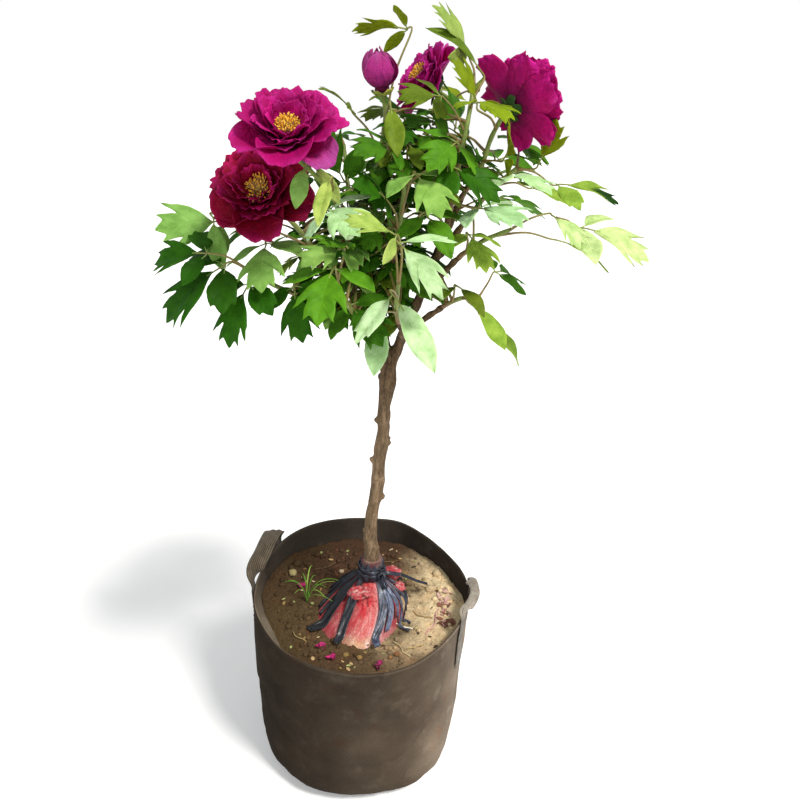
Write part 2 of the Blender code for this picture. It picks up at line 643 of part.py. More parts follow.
def petal(ring, shape, azimuth, draw, home, cup=0.040):
    """One petal: its midline leans out steadily more or less, and it is cupped across."""
    _, length, width, lean_low, lean_high, claw_out, claw_up = ring
    lean_low, lean_high = (math.radians(lean + draw.uniform(-4, 4)) for lean in (lean_low, lean_high))
    length *= draw.uniform(0.94, 1.05)
    rows, columns = len(shape), 4
    swell = lean_high - lean_low if abs(lean_high - lean_low) > 0.02 else 0.02
    points = []
    for row in range(rows):
        half = 0.5 * width * shape[row]
        for column in range(columns):
            u = 2 * column / (columns - 1) - 1
            s = row / (rows - 1) * (1 - PETAL_ROUND * u * u)
            lean = lean_low + swell * s
            radius = claw_out + length * (math.cos(lean_low) - math.cos(lean)) / swell
            height = claw_up + length * (math.sin(lean) - math.sin(lean_low)) / swell
            side = cup * math.sin(half * u / cup)
            rise = cup * (1 - math.cos(half * u / cup)) + PETAL_TILT * u * min(1.0, 2 * s)
            rise += draw.uniform(-0.0008, 0.0008) * s
            inward = Vector((-math.cos(lean), 0, math.sin(lean)))
            points.append(Vector((radius, side, height)) + inward * rise)
    faces = [(r * columns + c, r * columns + c + 1, (r + 1) * columns + c + 1, (r + 1) * columns + c)
             for r in range(rows - 1) for c in range(columns - 1)]
    obj = mesh_object("petal", points, faces, home)
    obj.data.transform(Matrix.Rotation(azimuth, 4, "Z"))
    split_alike(obj)
    shell = obj.modifiers.new("Thickness", "SOLIDIFY")
    shell.thickness = PETAL_THICKNESS
    shell.offset = 0.0
    return applied(obj)


def split_alike(obj):
    shaped = bmesh.new()
    shaped.from_mesh(obj.data)
    bmesh.ops.triangulate(shaped, faces=shaped.faces)
    shaped.to_mesh(obj.data)
    shaped.free()


def petals(name, rings, shape, base, axis, seed, home):
    draw = random.Random(seed)
    core = [(0.0, CORE_HEIGHT), (0.7 * CORE_RADIUS, CORE_HEIGHT), (CORE_RADIUS, 0.6 * CORE_HEIGHT),
            (CORE_RADIUS, 0.0), (0.0, 0.0)]
    pieces = [turned("core", core, home, steps=10)]
    for number, ring in enumerate(rings):
        for i in range(ring[0]):
            azimuth = 2 * math.pi * (i + 0.37 * number) / ring[0] + draw.uniform(-0.08, 0.08)
            pieces.append(petal(ring, shape, azimuth, draw, home))
    joined = union(name, pieces, home)
    joined.data.transform(bloom_frame(base, axis))
    return joined


def bloom(name, home):
    spec = BLOOMS[name]
    rings = [(count, length * spec.reach, width * spec.reach, *rest)
             for count, length, width, *rest in PETAL_RINGS]
    return petals(name, rings, PETAL_SHAPE, spec.base, spec.axis, spec.seed, home)


def stamens(name, home):
    """Golden stamens on a low dome, fused into one tuft."""
    spec = BLOOMS[name]
    draw = random.Random(spec.seed + 1)
    floor = CORE_HEIGHT + GAP
    dome = [(0.0, floor + 0.004), (0.004, floor + 0.0035), (0.0066, floor), (0.0, floor)]
    pieces = [turned("dome", dome, home, steps=10)]
    for count, start, lean in ((3, 0.0024, 9), (5, 0.0050, 24)):
        for i in range(count):
            heading = 2 * math.pi * i / count + draw.uniform(-0.2, 0.2)
            tilt = math.radians(lean + draw.uniform(-3, 3))
            out = Vector((math.cos(heading), math.sin(heading), 0))
            run = out * math.sin(tilt) + Vector((0, 0, math.cos(tilt)))
            root = out * start + Vector((0, 0, floor + 0.0012))
            stops = ((0.0, 0.0006), (0.0130, 0.0008), (0.0195, 0.0013))
            pieces.append(tube("stamen", [root + run * far for far, _ in stops],
                               [radius for _, radius in stops], home, resolution=0))
    joined = union("stamens" + name.removeprefix("bloom"), pieces, home)
    joined.data.transform(bloom_frame(spec.base, spec.axis))
    return joined


# Leaves
def four_sided(name, sections, home):
    """A closed solid through sections of left, top, right and bottom points; the last is one point."""
    points = [point for section in sections[:-1] for point in section] + [sections[-1]]
    tip = len(points) - 1
    faces = [(0, 1, 3), (1, 2, 3)]
    for ring in range(len(sections) - 2):
        left, top, right, bottom = (4 * ring + side for side in range(4))
        left_on, top_on, right_on, bottom_on = (4 * (ring + 1) + side for side in range(4))
        faces += [(top, left, top_on), (left, left_on, top_on), (top, top_on, right),
                  (right, top_on, right_on)]
        faces += [(bottom, bottom_on, left), (left, bottom_on, left_on), (bottom, right, bottom_on),
                  (right, right_on, bottom_on)]
    left, top, right, bottom = (tip - 4 + side for side in range(4))
    faces += [(left, tip, top), (top, tip, right), (right, tip, bottom), (bottom, tip, left)]
    obj = mesh_object(name, points, faces, home)
    shaped = bmesh.new()
    shaped.from_mesh(obj.data)
    bmesh.ops.recalc_face_normals(shaped, faces=shaped.faces)
    shaped.to_mesh(obj.data)
    shaped.free()
    return obj


def diamond(centre, side, normal, half_width, half_height):
    return [centre - side * half_width, centre + normal * half_height,
            centre + side * half_width, centre - normal * half_height]


def blade_sections(joint, tip, normal, stations, droop):
    """Sections of a blade whose rib runs in an arc from the joint, at 0, to the tip, at 1."""
    chord = tip - joint
    length = chord.length
    forward = chord.normalized()
    side = forward.cross(normal).normalized()
    up = side.cross(forward)
    turn_radius = length / (2 * math.sin(droop / 2))
    sections = []
    for left, right in stations:
        bend = droop / 2 - droop * left.along
        rib = joint + forward * turn_radius * (math.sin(droop / 2) - math.sin(bend))
        rib += up * turn_radius * (math.cos(bend) - math.cos(droop / 2))
        ahead = forward * math.cos(bend) + up * math.sin(bend)
        above = up * math.cos(bend) - forward * math.sin(bend)
        half = 0.5 * RIB_THICKNESS * (1 - 0.35 * max(0.0, left.along))
        corners = []
        for station, out in ((left, -side), (right, side)):
            if station.reach:
                lean = math.radians(station.lean)
                vein = ahead * math.cos(lean) + out * math.sin(lean)
                corners.append(rib + (vein * station.reach + above * station.lift) * length)
            else:
                corners.append(rib + out * STALK_RADIUS)
                half = STALK_RADIUS * (1 if left.along <= 0 else 0.8)
        sections.append([corners[0], rib + above * half, corners[1], rib - above * half])
    return sections


def bare(place):
    return (Station(place, 0, 90, 0), Station(place, 0, 90, 0))


def leaf_normal(joint, tip):
    """Leaves look up and away from the trunk."""
    away = Vector((joint.x - TRUNK_FOOT.x, joint.y - TRUNK_FOOT.y, 0.0))
    facing = Vector((0, 0, 0.8)) + away.normalized() * 0.55
    forward = (tip - joint).normalized()
    return (facing - forward * facing.dot(forward)).normalized()


def leaf_piece(start, joint, tip, leaflets, bow, home):
    """A compound leaf: its stalk, the side leaflets and the lobed end leaflet."""
    normal = leaf_normal(joint, tip)
    sides = {"three": (1, 1), "left": (1, 0), "right": (0, 1), "one": (0, 0)}[leaflets]
    stations = [bare(STALK_END)]
    if any(sides):
        for station in SIDE_LEAFLETS:
            stations.append(tuple(station if kept else station._replace(reach=0) for kept in sides))
        stations.append(bare(-0.04))
    stations += [(station, station) for station in END_LEAFLET]
    blade = blade_sections(joint, tip, normal, stations, LEAF_DROOP)
    foot = 0.5 * (blade[0][1] + blade[0][3])
    middle = start.lerp(foot, 0.5) + normal * bow * (foot - start).length
    stalk = []
    for point, forward in ((start, middle - start), (middle, foot - start)):
        side = forward.cross(normal).normalized()
        stalk.append(diamond(point, side, side.cross(forward).normalized(), STALK_RADIUS, STALK_RADIUS))
    return four_sided("leaf", [*stalk, *blade, tip], home)


def ruled_leaves(name, route):
    """Alternate leaves up a shoot, the first to one side of the heading and the next ones closer to it."""
    count, heading = RULED_LEAVES.get(name, (0, 0))
    leaves = []
    for i in range(count):
        angle = math.radians(heading) + RULED_FAN * (1 - i / count) * (-1) ** i
        out = Vector((math.cos(angle), math.sin(angle), 0.0))
        part = (i + 1) / count
        joint = along(route, part) + out * RULED_STALK + Vector((0, 0, RULED_RISE - 0.006 * i))
        tip = joint + (out * 0.92 - Vector((0, 0, 0.39))) * RULED_LEAFLET
        leaves.append(Leaf(part, tuple(joint), tuple(tip), "three"))
    return leaves


def clear_leaf(leaf, start, others, own, home):
    """The leaf at the first turn where it crosses no other node, and its own shoot's leaves least."""
    joint, tip = Vector(leaf.joint), Vector(leaf.tip)
    best, fewest = None, None
    for bow in BOWS:
        for turn, tilt in TURNS:
            normal = leaf_normal(joint, tip)
            side = (tip - joint).cross(normal).normalized()
            swing = Matrix.Rotation(math.radians(turn), 3, normal)
            swing = swing @ Matrix.Rotation(math.radians(tilt), 3, side)
            piece = leaf_piece(start, joint, joint + swing @ (tip - joint), leaf.leaflets, bow, home)
            tree = tree_of(piece)
            crossings = sum(bool(tree.overlap(other)) for other in own)
            clear = not any(tree.overlap(other) for other in others)
            worse = piece
            if clear and (best is None or crossings < fewest):
                worse, best, fewest = best, piece, crossings
            if worse:
                bpy.data.objects.remove(worse)
            if best and not fewest:
                return best
    return best


def shoot_stem(name, home):
    """The green stem, from the flat end of its limb to its tip or to its bloom's base."""
    spec = SHOOTS[name]
    limb_end, before = Vector(spec.limb[-1]), Vector(spec.limb[-2])
    start = limb_end + (limb_end - before).normalized() * GAP
    points = [start, start + (limb_end - before).normalized() * 0.004, *spec.route]
    if spec.bloom:
        base, axis = bloom_seat(spec.bloom)
        points += [base - axis * 0.010, base - axis * (0.002 + GAP), base - axis * GAP]
    route = smooth_route(points, 1)
    radii = [SHOOT_RADIUS - 0.0008 * i / len(route) for i in range(len(route))]
    if spec.bloom:
        radii[-2:] = [0.0075, 0.0085]
    return tube("stem", route, radii, home, resolution=0), route


def bloom_seat(name):
    if name == "bud":
        return Vector(BUD_BASE), Vector(BUD_AXIS).normalized()
    return Vector(BLOOMS[name].base), Vector(BLOOMS[name].axis).normalized()


def sepals(name, home):
    """The green calyx: short blades that spread under the bloom, or under the bud."""
    base, axis = bloom_seat(name)
    frame = bloom_frame(base, axis)
    lean = math.radians(94)
    pieces = []
    for i in range(SEPALS):
        heading = 2 * math.pi * (i + 0.3) / SEPALS
        out = Vector((math.cos(heading), math.sin(heading), 0))
        root = Vector((0, 0, -0.0028)) + out * 0.002
        tip = root + (out * math.sin(lean) + Vector((0, 0, math.cos(lean)))) * SEPAL_LENGTH
        stations = [bare(0.0), *((station, station) for station in SEPAL)]
        sections = blade_sections(root, tip, Vector((0, 0, -1)), stations, math.radians(20))
        piece = four_sided("sepal", [*sections, tip], home)
        piece.data.transform(frame)
        pieces.append(piece)
    return pieces


def leafy_shoots(home, taken):
    """All shoots; each leaf keeps clear of the wood, the blooms and the shoots already there."""
    stems = {}
    for name in SHOOTS:
        stem, route = shoot_stem(name, home)
        pieces = [stem]
        if SHOOTS[name].bloom:
            pieces += sepals(SHOOTS[name].bloom, home)
        stems[name] = (pieces, route)
    trees = {name: [tree_of(piece) for piece in pieces] for name, (pieces, _) in stems.items()}
    for name, (pieces, route) in stems.items():
        last = None
        green = route if not SHOOTS[name].bloom else route[:-2]
        for leaf in (*LEAVES.get(name, ()), *ruled_leaves(name, route)):
            chained = leaf.start is None
            start = Vector(last) if chained else along(green, leaf.start)
            others = taken + [tree for other in trees if other != name for tree in trees[other]]
            own = trees[name][1:-1] if chained else trees[name][1:]
            made = clear_leaf(leaf, start, others, own, home)
            if made:
                pieces.append(made)
                trees[name].append(tree_of(made))
                last = leaf.joint
    return [union(name, pieces, home) for name, (pieces, _) in stems.items()]


def grass_tuft(home, ground):
    """Blades from one root that stands on the soil."""
    spot = ground.ray_cast(GRASS_ROOT + Vector((0, 0, 1)), Vector((0, 0, -1)))[0]
    root = spot + Vector((0, 0, 0.0013))
    pieces = [tube("clump", (root, root + Vector((0, 0, 0.008))), (0.0030, 0.0020), home)]
    for heading, length, spread in GRASS_BLADES:
        angle = math.radians(heading)
        out = Vector((math.cos(angle), math.sin(angle), 0))
        side = Vector((-out.y, out.x, 0))
        sections = []
        for t, width in ((0.0, 0.6), (0.45, 1.0), (0.8, 0.7)):
            rise = 0.004 + 0.8 * length * math.sin(0.5 * math.pi * t)
            rib = root + Vector((0, 0, rise)) + out * spread * t * t
            sections.append(diamond(rib, side, out, GRASS_WIDTH * width, 0.0006))
        sections.append(root + Vector((0, 0, length * 0.76)) + out * spread)
        pieces.append(four_sided("blade", sections, home))
    return union("grass_tuft", pieces, home)


def main():
    clear_scene()
    home = new_collection("potted_peony")
    colours = {
        "bag_fabric": ((0.050, 0.040, 0.032), 0.9), "soil": ((0.180, 0.125, 0.075), 0.95),
        "net": ((0.750, 0.050, 0.070), 0.7), "black_strip": ((0.015, 0.016, 0.022), 0.5),
        "bark": ((0.230, 0.170, 0.120), 0.85), "leaf": ((0.080, 0.260, 0.040), 0.5),
        "petal": ((0.420, 0.005, 0.160), 0.6), "stamen": ((0.850, 0.450, 0.060), 0.7),
    }
    looks = {name: new_material(name, *look) for name, look in colours.items()}
    bag = grow_bag(home)
    handles = [handle(name, home) for name in HANDLES]
    fill = soil(home)
    ball = root_ball(home)
    tie = tie_and_strips(home)
    wood = trunk_and_limbs(home)
    blooms = [bloom(name, home) for name in BLOOMS]
    bud = petals("bud", BUD_RINGS, BUD_SHAPE, BUD_BASE, BUD_AXIS, 13, home)
    tufts = [stamens(name, home) for name in BLOOMS]
    shoots = leafy_shoots(home, [tree_of(obj) for obj in (wood, *blooms, bud, *tufts)])
    grass = grass_tuft(home, tree_of(fill))
    for look, objects in (
        ("bag_fabric", [bag, *handles]), ("soil", [fill]), ("net", [ball]), ("black_strip", [tie]),
        ("bark", [wood]), ("petal", [*blooms, bud]), ("stamen", tufts), ("leaf", [*shoots, grass]),
    ):
        for obj in objects:
            obj.data.materials.clear()
            obj.data.materials.append(looks[look])


main()
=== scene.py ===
"""The looks of the potted tree peony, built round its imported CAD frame. Metres, +Z up; the front faces -Y."""
import math
import random
from collections import namedtuple
import bmesh
import bpy
import numpy as np
from mathutils import Matrix, Vector, noise
from mathutils.bvhtree import BVHTree
from mathutils.kdtree import KDTree


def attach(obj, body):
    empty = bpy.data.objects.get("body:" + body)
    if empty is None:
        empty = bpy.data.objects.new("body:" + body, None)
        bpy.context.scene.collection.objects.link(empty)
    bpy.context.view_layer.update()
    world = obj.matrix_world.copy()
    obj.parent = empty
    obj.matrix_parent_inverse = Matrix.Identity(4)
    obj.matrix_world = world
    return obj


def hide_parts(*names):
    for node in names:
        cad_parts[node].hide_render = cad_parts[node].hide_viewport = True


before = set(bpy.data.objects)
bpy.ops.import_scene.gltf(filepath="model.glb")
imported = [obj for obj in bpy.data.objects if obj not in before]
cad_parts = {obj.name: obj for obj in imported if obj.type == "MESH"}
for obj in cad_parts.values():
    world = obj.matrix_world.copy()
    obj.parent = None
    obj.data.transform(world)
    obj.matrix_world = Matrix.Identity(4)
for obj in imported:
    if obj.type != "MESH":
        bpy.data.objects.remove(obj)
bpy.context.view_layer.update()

# The camera stands where the photograph was taken from
CAMERA_AT = Vector((0.045, -1.03, 1.19))
CAMERA_PITCH = math.radians(24.2)
CAMERA_ROLL = math.radians(3.5)
CAMERA_LENS = 31.5


# Helpers
def srgb(code):
    """A colour as the linear values that a shader takes."""
    parts = np.array([int(code[i:i + 2], 16) / 255 for i in (1, 3, 5)])
    return np.where(parts <= 0.04045, parts / 12.92, ((parts + 0.055) / 1.055) ** 2.4)


def unit(v):
    return v / np.maximum(np.linalg.norm(v, axis=-1, keepdims=True), 1e-12)


def blend(value, low, high):
    """0 up to low, 1 from high on, and smooth between them."""
    part = np.clip((value - low) / (high - low), 0.0, 1.0)
    return part * part * (3 - 2 * part)


def mix(a, b, part):
    return np.asarray(a) * (1 - part) + np.asarray(b) * part


def stacked(*parts):
    return np.stack(np.broadcast_arrays(*parts), axis=-1)


def polar(radius, angle, height=0.0):
    """Points by their distance from the axis, heading and height."""
    return stacked(radius * np.cos(angle), radius * np.sin(angle), height)


def hill(value, middle, spread):
    """1 at the middle, falling off over the spread."""
    return np.exp(-((value - middle) / spread) ** 2)


def turned(angle, heading):
    """How far an angle is turned from this heading in degrees, from -pi to pi."""
    return (angle - math.radians(heading) + math.pi) % (2 * math.pi) - math.pi


def circle(steps):
    return np.linspace(0, 2 * math.pi, steps, endpoint=False)


def rough(points, scale, octaves=3, seed=0.0):
    """Fractal noise, about -1 to 1, at each point; scale is in waves per metre."""
    lift = Vector((seed * 3.7, seed * 1.3, seed * 2.1))
    flat = np.asarray(points, float).reshape(-1, 3)
    found = [noise.fractal(Vector(p) * scale + lift, 0.8, 2.1, octaves) for p in flat]
    return np.array(found).reshape(np.shape(points)[:-1])


def grid(rows, columns, closed=False, ring=False):
    """Faces between rows of points: closed along each row, and as a ring from the last row to the first."""
    faces = []
    for r in range(rows - (not ring)):
        for c in range(columns - (not closed)):
            d, far = (c + 1) % columns, (r + 1) % rows * columns
            faces.append((r * columns + c, r * columns + d, far + d, far + c))
    return faces


def fan(first, steps, centre, down=False):
    """Faces that close a ring of points round its centre."""
    sides = [(first + c, first + (c + 1) % steps) for c in range(steps)]
    return [(b, a, centre) if down else (a, b, centre) for a, b in sides]


def linked(name, data):
    made = bpy.data.objects.new(name, data)
    bpy.context.scene.collection.objects.link(made)
    return made


class Pile:
    """The points and faces of one piece as they are made, with what each of them wears."""

    def __init__(self):
        self.points, self.faces, self.uvs, self.tints, self.looks = [], [], [], [], []
        self.count = 0

    def add(self, points, faces, uv=None, tint=(1.0, 1.0, 1.0), look=0):
        points = np.asarray(points, float).reshape(-1, 3)
        tint = np.asarray(tint, float)
        self.points.append(points)
        self.uvs.append(np.zeros((len(points), 2)) if uv is None else np.asarray(uv, float).reshape(-1, 2))
        self.tints.append(tint.reshape(-1, 3) if tint.ndim > 1 else np.tile(tint, (len(points), 1)))
        self.faces += [tuple(self.count + i for i in face) for face in faces]
        self.looks += [look] * len(faces)
        self.count += len(points)

    def tube(self, route, radii, sides=6, tint=(1.0, 1.0, 1.0), look=0):
        """A closed round stem through the route's points."""
        route = np.asarray([tuple(p) for p in route], float)
        radii = np.broadcast_to(np.asarray(radii, float), (len(route),))
        run = unit(np.gradient(route, axis=0))
        pick = np.array((0.0, 0.0, 1.0)) if abs(run[0][2]) < 0.9 else np.array((1.0, 0.0, 0.0))
        side = unit(np.cross(run[0], pick))
        turn = circle(sides)[:, None]
        rings = []
        for here, ahead, radius in zip(route, run, radii):
            side = unit(side - ahead * np.dot(side, ahead))
            rings.append(here + radius * (np.cos(turn) * side + np.sin(turn) * np.cross(ahead, side)))
        tint = np.asarray(tint, float)
        if tint.ndim > 1:
            tint = np.repeat(tint, sides, axis=0)
        uv = stacked(np.linspace(0, 1, len(route))[:, None], turn[:, 0] / (2 * math.pi))
        self.skin(rings, uv, tint, look)

    def skin(self, rings, uv, tint, look=0):
        """A skin over rings of points, capped at both ends."""
        rows, sides = np.shape(rings)[:2]
        last = (rows - 1) * sides
        caps = [tuple(reversed(range(sides))), tuple(range(last, last + sides))]
        self.add(rings, grid(rows, sides, closed=True) + caps, uv, tint, look)

    def blade(self, points, uv, tint, thick, under=0):
        """A thin closed blade: its upper face is the grid of points, its lower face lies thick below."""
        rows, columns = points.shape[:2]
        normal = unit(np.cross(np.gradient(points, axis=0), np.gradient(points, axis=1)))
        both = np.concatenate([points.reshape(-1, 3), (points - normal * thick).reshape(-1, 3)])
        size = rows * columns
        top = grid(rows, columns)
        low = [tuple(size + i for i in reversed(face)) for face in top]
        ring = [*range(columns), *range(2 * columns - 1, size, columns)]
        ring += [*range(size - 2, size - columns - 1, -1), *range(size - 2 * columns, 0, -columns)]
        rim = [(b, a, a + size, b + size) for a, b in zip(ring, ring[1:] + ring[:1])]
        tint = np.asarray(tint, float)
        if tint.ndim > 1:
            tint = np.concatenate([tint.reshape(-1, 3)] * 2)
        self.add(both, [tuple(reversed(f)) for f in top + low + rim], [uv.reshape(-1, 2)] * 2, tint)
        self.looks[-len(low + rim):] = [under] * len(low + rim)

    def mesh(self, name):
        made = bpy.data.meshes.new(name)
        made.from_pydata(np.concatenate(self.points).tolist(), [], self.faces)
        return made

    def piece(self, name, looks, slot, node):
        """Makes the piece, and hides the CAD node that it stands for."""
        mesh = self.mesh(name)
        mesh.polygons.foreach_set("material_index", self.looks)
        mesh.polygons.foreach_set("use_smooth", [True] * len(self.faces))
        corners = np.empty(len(mesh.loops), np.int32)
        mesh.loops.foreach_get("vertex_index", corners)
        layer = mesh.uv_layers.new(name="UVMap")
        layer.data.foreach_set("uv", np.concatenate(self.uvs)[corners].ravel())
        paint = mesh.color_attributes.new("tint", "FLOAT_COLOR", "POINT")
        colours = np.ones((self.count, 4))
        colours[:, :3] = np.concatenate(self.tints)
        paint.data.foreach_set("color", colours.ravel())
        for look in looks:
            mesh.materials.append(LOOKS[look])
        mesh.update()
        obj = linked(name, mesh)
        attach(obj, "root")
        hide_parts(node)
        return obj


def cad_points(name):
    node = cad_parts[name]
    return [node.matrix_world @ vertex.co for vertex in node.data.vertices]


def smooth_route(points, parts=6):
    """A Catmull-Rom curve through the points."""
    knots = [Vector(point) for point in points]
    knots = [2 * knots[0] - knots[1], *knots, 2 * knots[-1] - knots[-2]]
    route = []
    for a, b, c, d in zip(knots, knots[1:], knots[2:], knots[3:]):
        for step in range(parts):
            t = step / parts
            route.append(0.5 * (2 * b + (c - a) * t + (2 * a - 5 * b + 4 * c - d) * t**2
                                + (3 * b - a - 3 * c + d) * t**3))
    return [*route, knots[-2]]


def along(route, part):
    """The point at this part of the route's length."""
    steps = [(b - a).length for a, b in zip(route, route[1:])]
    left = part * sum(steps)
    for a, b, step in zip(route, route[1:], steps):
        if left <= step:
            return a.lerp(b, left / step)
        left -= step
    return route[-1].copy()


# Materials
class Look:
    """A material whose nodes are added by kind; a socket or a value goes to each named input."""

    def __init__(self, name, roughness=0.6, specular=0.5, sheen=0.0, subsurface=0.0):
        self.material = bpy.data.materials.new(name)
        self.material.use_nodes = True
        self.tree = self.material.node_tree
        self.inputs = self.tree.nodes["Principled BSDF"].inputs
        settings = {"Roughness": roughness, "Specular IOR Level": specular, "Sheen Weight": sheen,
                    "Subsurface Weight": subsurface, "Subsurface Scale": 0.004}
        for key, value in settings.items():
            self.inputs[key].default_value = value
        self.place = self.add("TexCoord").outputs["Object"]

    def add(self, kind, settings=None, **inputs):
        made = self.tree.nodes.new("ShaderNode" + kind)
        for key, value in (settings or {}).items():
            setattr(made, key, value)
        for key, value in inputs.items():
            socket = made.inputs[int(key[1:])] if key[0] == "i" and key[1:].isdigit() else made.inputs[key]
            self.put(socket, value)
        return made

    def put(self, socket, value):
        if isinstance(value, bpy.types.NodeSocket):
            self.tree.links.new(value, socket)
        elif socket.type == "RGBA" and len(value) == 3:
            socket.default_value = (*value, 1.0)
        else:
            socket.default_value = value

    def noise(self, scale, detail=4.0, roughness=0.55, stretch=None, distortion=0.0, place=None):
        place = place or self.place
        if stretch:
            place = self.add("Mapping", Vector=place, Scale=stretch).outputs[0]
        made = self.add("TexNoise", Vector=place, Scale=scale, Detail=detail, Roughness=roughness,
                        Distortion=distortion)
        return made.outputs["Fac"]

    def ramp(self, value, *stops):
        """Stops are (position, colour or grey); the result runs smoothly between them."""
        made = self.add("ValToRGB", i0=value)
        made.color_ramp.interpolation = "EASE"
        while len(made.color_ramp.elements) < len(stops):
            made.color_ramp.elements.new(0.5)
        for element, (position, colour) in zip(made.color_ramp.elements, stops):
            element.position = position
            element.color = (*colour, 1.0) if np.ndim(colour) else (colour, colour, colour, 1.0)
        return made.outputs[0]

    def mix(self, part, a, b, way="MIX"):
        made = self.add("Mix", {"data_type": "RGBA", "blend_type": way}, i0=part, i6=a, i7=b)
        return made.outputs[2]

    def times(self, colour, *others):
        for other in others:
            colour = self.mix(1.0, colour, other, "MULTIPLY")
        return colour

    def math(self, way, a, b=0.0):
        return self.add("Math", {"operation": way}, i0=a, i1=b).outputs[0]

    def total(self, *parts):
        """The sum of the parts, each alone or with its weight."""
        first, *rest = [self.math("MULTIPLY", *part) if isinstance(part, tuple) else part for part in parts]
        for part in rest:
            first = self.math("ADD", first, part)
        return first

    def wave(self, place, *more):
        return self.math("SINE", self.total(place, *more))

    def tint(self):
        return self.add("VertexColor", {"layer_name": "tint"}).outputs["Color"]

    def uv(self):
        """The two parts of the UV place, and the place itself."""
        place = self.add("UVMap").outputs[0]
        made = self.add("SeparateXYZ", i0=place)
        return made.outputs[0], made.outputs[1], place

    def painted(self, *colours):
        """The mesh's own tint, times these colours."""
        self.put(self.inputs["Base Color"], self.times(*colours, self.tint()))

    def bump(self, height, distance, strength):
        made = self.add("Bump", Height=height, Distance=distance, Strength=strength)
        self.put(self.inputs["Normal"], made.outputs[0])


# Looks: colours as read from the photograph
def leaf_look(name, under):
    look = Look(name, roughness=0.66, specular=0.08)
    u, v, _ = look.uv()
    tint = look.tint()
    patchy = look.ramp(look.noise(60.0), (0.28, (0.70, 0.76, 0.62)), (0.72, (1.20, 1.14, 1.22)))
    # Side veins run along the grid's rows, and the rib along its middle
    wander = look.math("MULTIPLY", look.noise(45.0, detail=2.0), 1.6)
    vein = look.ramp(look.wave((u, 2 * math.pi), wander), (0.80, 0.0), (0.99, 1.0))
    away = look.math("ABSOLUTE", v)
    fade = look.ramp(away, (0.20, 0.8), (0.80, 0.1))
    rib = look.ramp(away, (0.015, 1.0), (0.06, 0.0))
    veins = look.math("MAXIMUM", look.math("MULTIPLY", vein, fade), rib)
    # Veins are paler, the rim is paler with a painted highlight, and the underside is paler
    pale = look.times(tint, (1.55, 1.35, 1.5))
    colour = look.mix(look.math("MULTIPLY", veins, 0.34), look.times(tint, patchy), pale)
    colour = look.mix(look.ramp(away, (0.86, 0.0), (0.99, 0.6)), colour, pale)
    if under:
        colour = look.mix(0.45, colour, look.times(tint, (1.5, 1.25, 1.7)))
    look.put(look.inputs["Base Color"], colour)
    # The face swells between the veins
    swell = look.math("ABSOLUTE", look.wave((u, math.pi), 0.8))
    look.bump(look.total((swell, 0.8), (veins, -0.7), (look.noise(420.0, detail=3.0), 0.20)), 0.0008, 0.6)
    if not under:
        look.put(look.inputs["Roughness"], look.ramp(look.noise(160.0), (0.35, 0.48), (0.75, 0.68)))
    return look.material


def petal_look(name, back):
    look = Look(name, roughness=0.58, specular=0.12, subsurface=0.10)
    place = look.uv()[2]
    streak = look.noise(1.0, detail=5.0, place=place, stretch=(2.5, 46.0, 1.0))
    shade = look.ramp(streak, (0.30, (0.74, 0.60, 0.70)), (0.52, (1.0, 1.0, 1.0)), (0.80, (1.18, 1.8, 1.25)))
    blotch = look.ramp(look.noise(45.0, detail=3.0), (0.35, (0.84, 0.75, 0.80)), (0.7, (1.10, 1.1, 1.12)))
    colour = look.times(look.tint(), shade, blotch)
    if back:
        colour = look.mix(look.ramp(streak, (0.40, 0.02), (0.78, 0.22)), colour, srgb("#b4208e"))
    look.put(look.inputs["Base Color"], colour)
    # Fine pleats from claw to edge, and crumples across them
    crumple = look.noise(38.0, detail=3.0, roughness=0.5, distortion=1.2)
    look.bump(look.total(streak, (look.noise(240.0, detail=3.0), 0.8), (crumple, 3.2)), 0.0022, 0.8)
    return look.material


def bark_look():
    look = Look("bark", roughness=0.85, specular=0.25)
    grain = look.noise(90.0, detail=8.0, roughness=0.65, stretch=(1.0, 1.0, 0.22), distortion=0.6)
    fine = look.noise(420.0, detail=6.0, stretch=(1.0, 1.0, 0.35))
    colour = look.ramp(grain, (0.28, srgb("#483a2c")), (0.45, srgb("#6f5c46")), (0.60, srgb("#8d775e")),
                       (0.78, srgb("#a8937a")))
    look.painted(colour, look.ramp(fine, (0.35, (0.70, 0.67, 0.63)), (0.6, (1.05, 1.03, 1.0))))
    cracks = look.ramp(look.noise(150.0, detail=5.0, stretch=(1.0, 1.0, 0.18)), (0.40, 0.0), (0.52, 1.0))
    look.bump(look.total((cracks, 0.7), (fine, 0.5)), 0.0022, 0.8)
    return look.material


def felt_look():
    look = Look("bag_felt", roughness=0.95, specular=0.03)
    broad = look.noise(9.0, detail=3.0, roughness=0.5)
    cloudy = look.noise(30.0, detail=5.0)
    fibre = look.noise(900.0, roughness=0.7, stretch=(1.0, 1.0, 0.5), distortion=0.8)
    colour = look.ramp(broad, (0.30, srgb("#3b332c")), (0.52, srgb("#463d34")), (0.72, srgb("#52483e")))
    colour = look.mix(look.ramp(cloudy, (0.52, 0.0), (0.76, 0.35)), colour, srgb("#675d52"))
    stains = look.ramp(look.noise(22.0, detail=5.0), (0.56, 0.0), (0.75, 0.35))
    colour = look.mix(stains, colour, srgb("#4a3226"))
    look.painted(colour, look.ramp(fibre, (0.30, (0.78, 0.77, 0.76)), (0.70, (1.18, 1.17, 1.15))))
    look.bump(look.total((fibre, 0.7), (cloudy, 0.6)), 0.0012, 0.6)
    return look.material


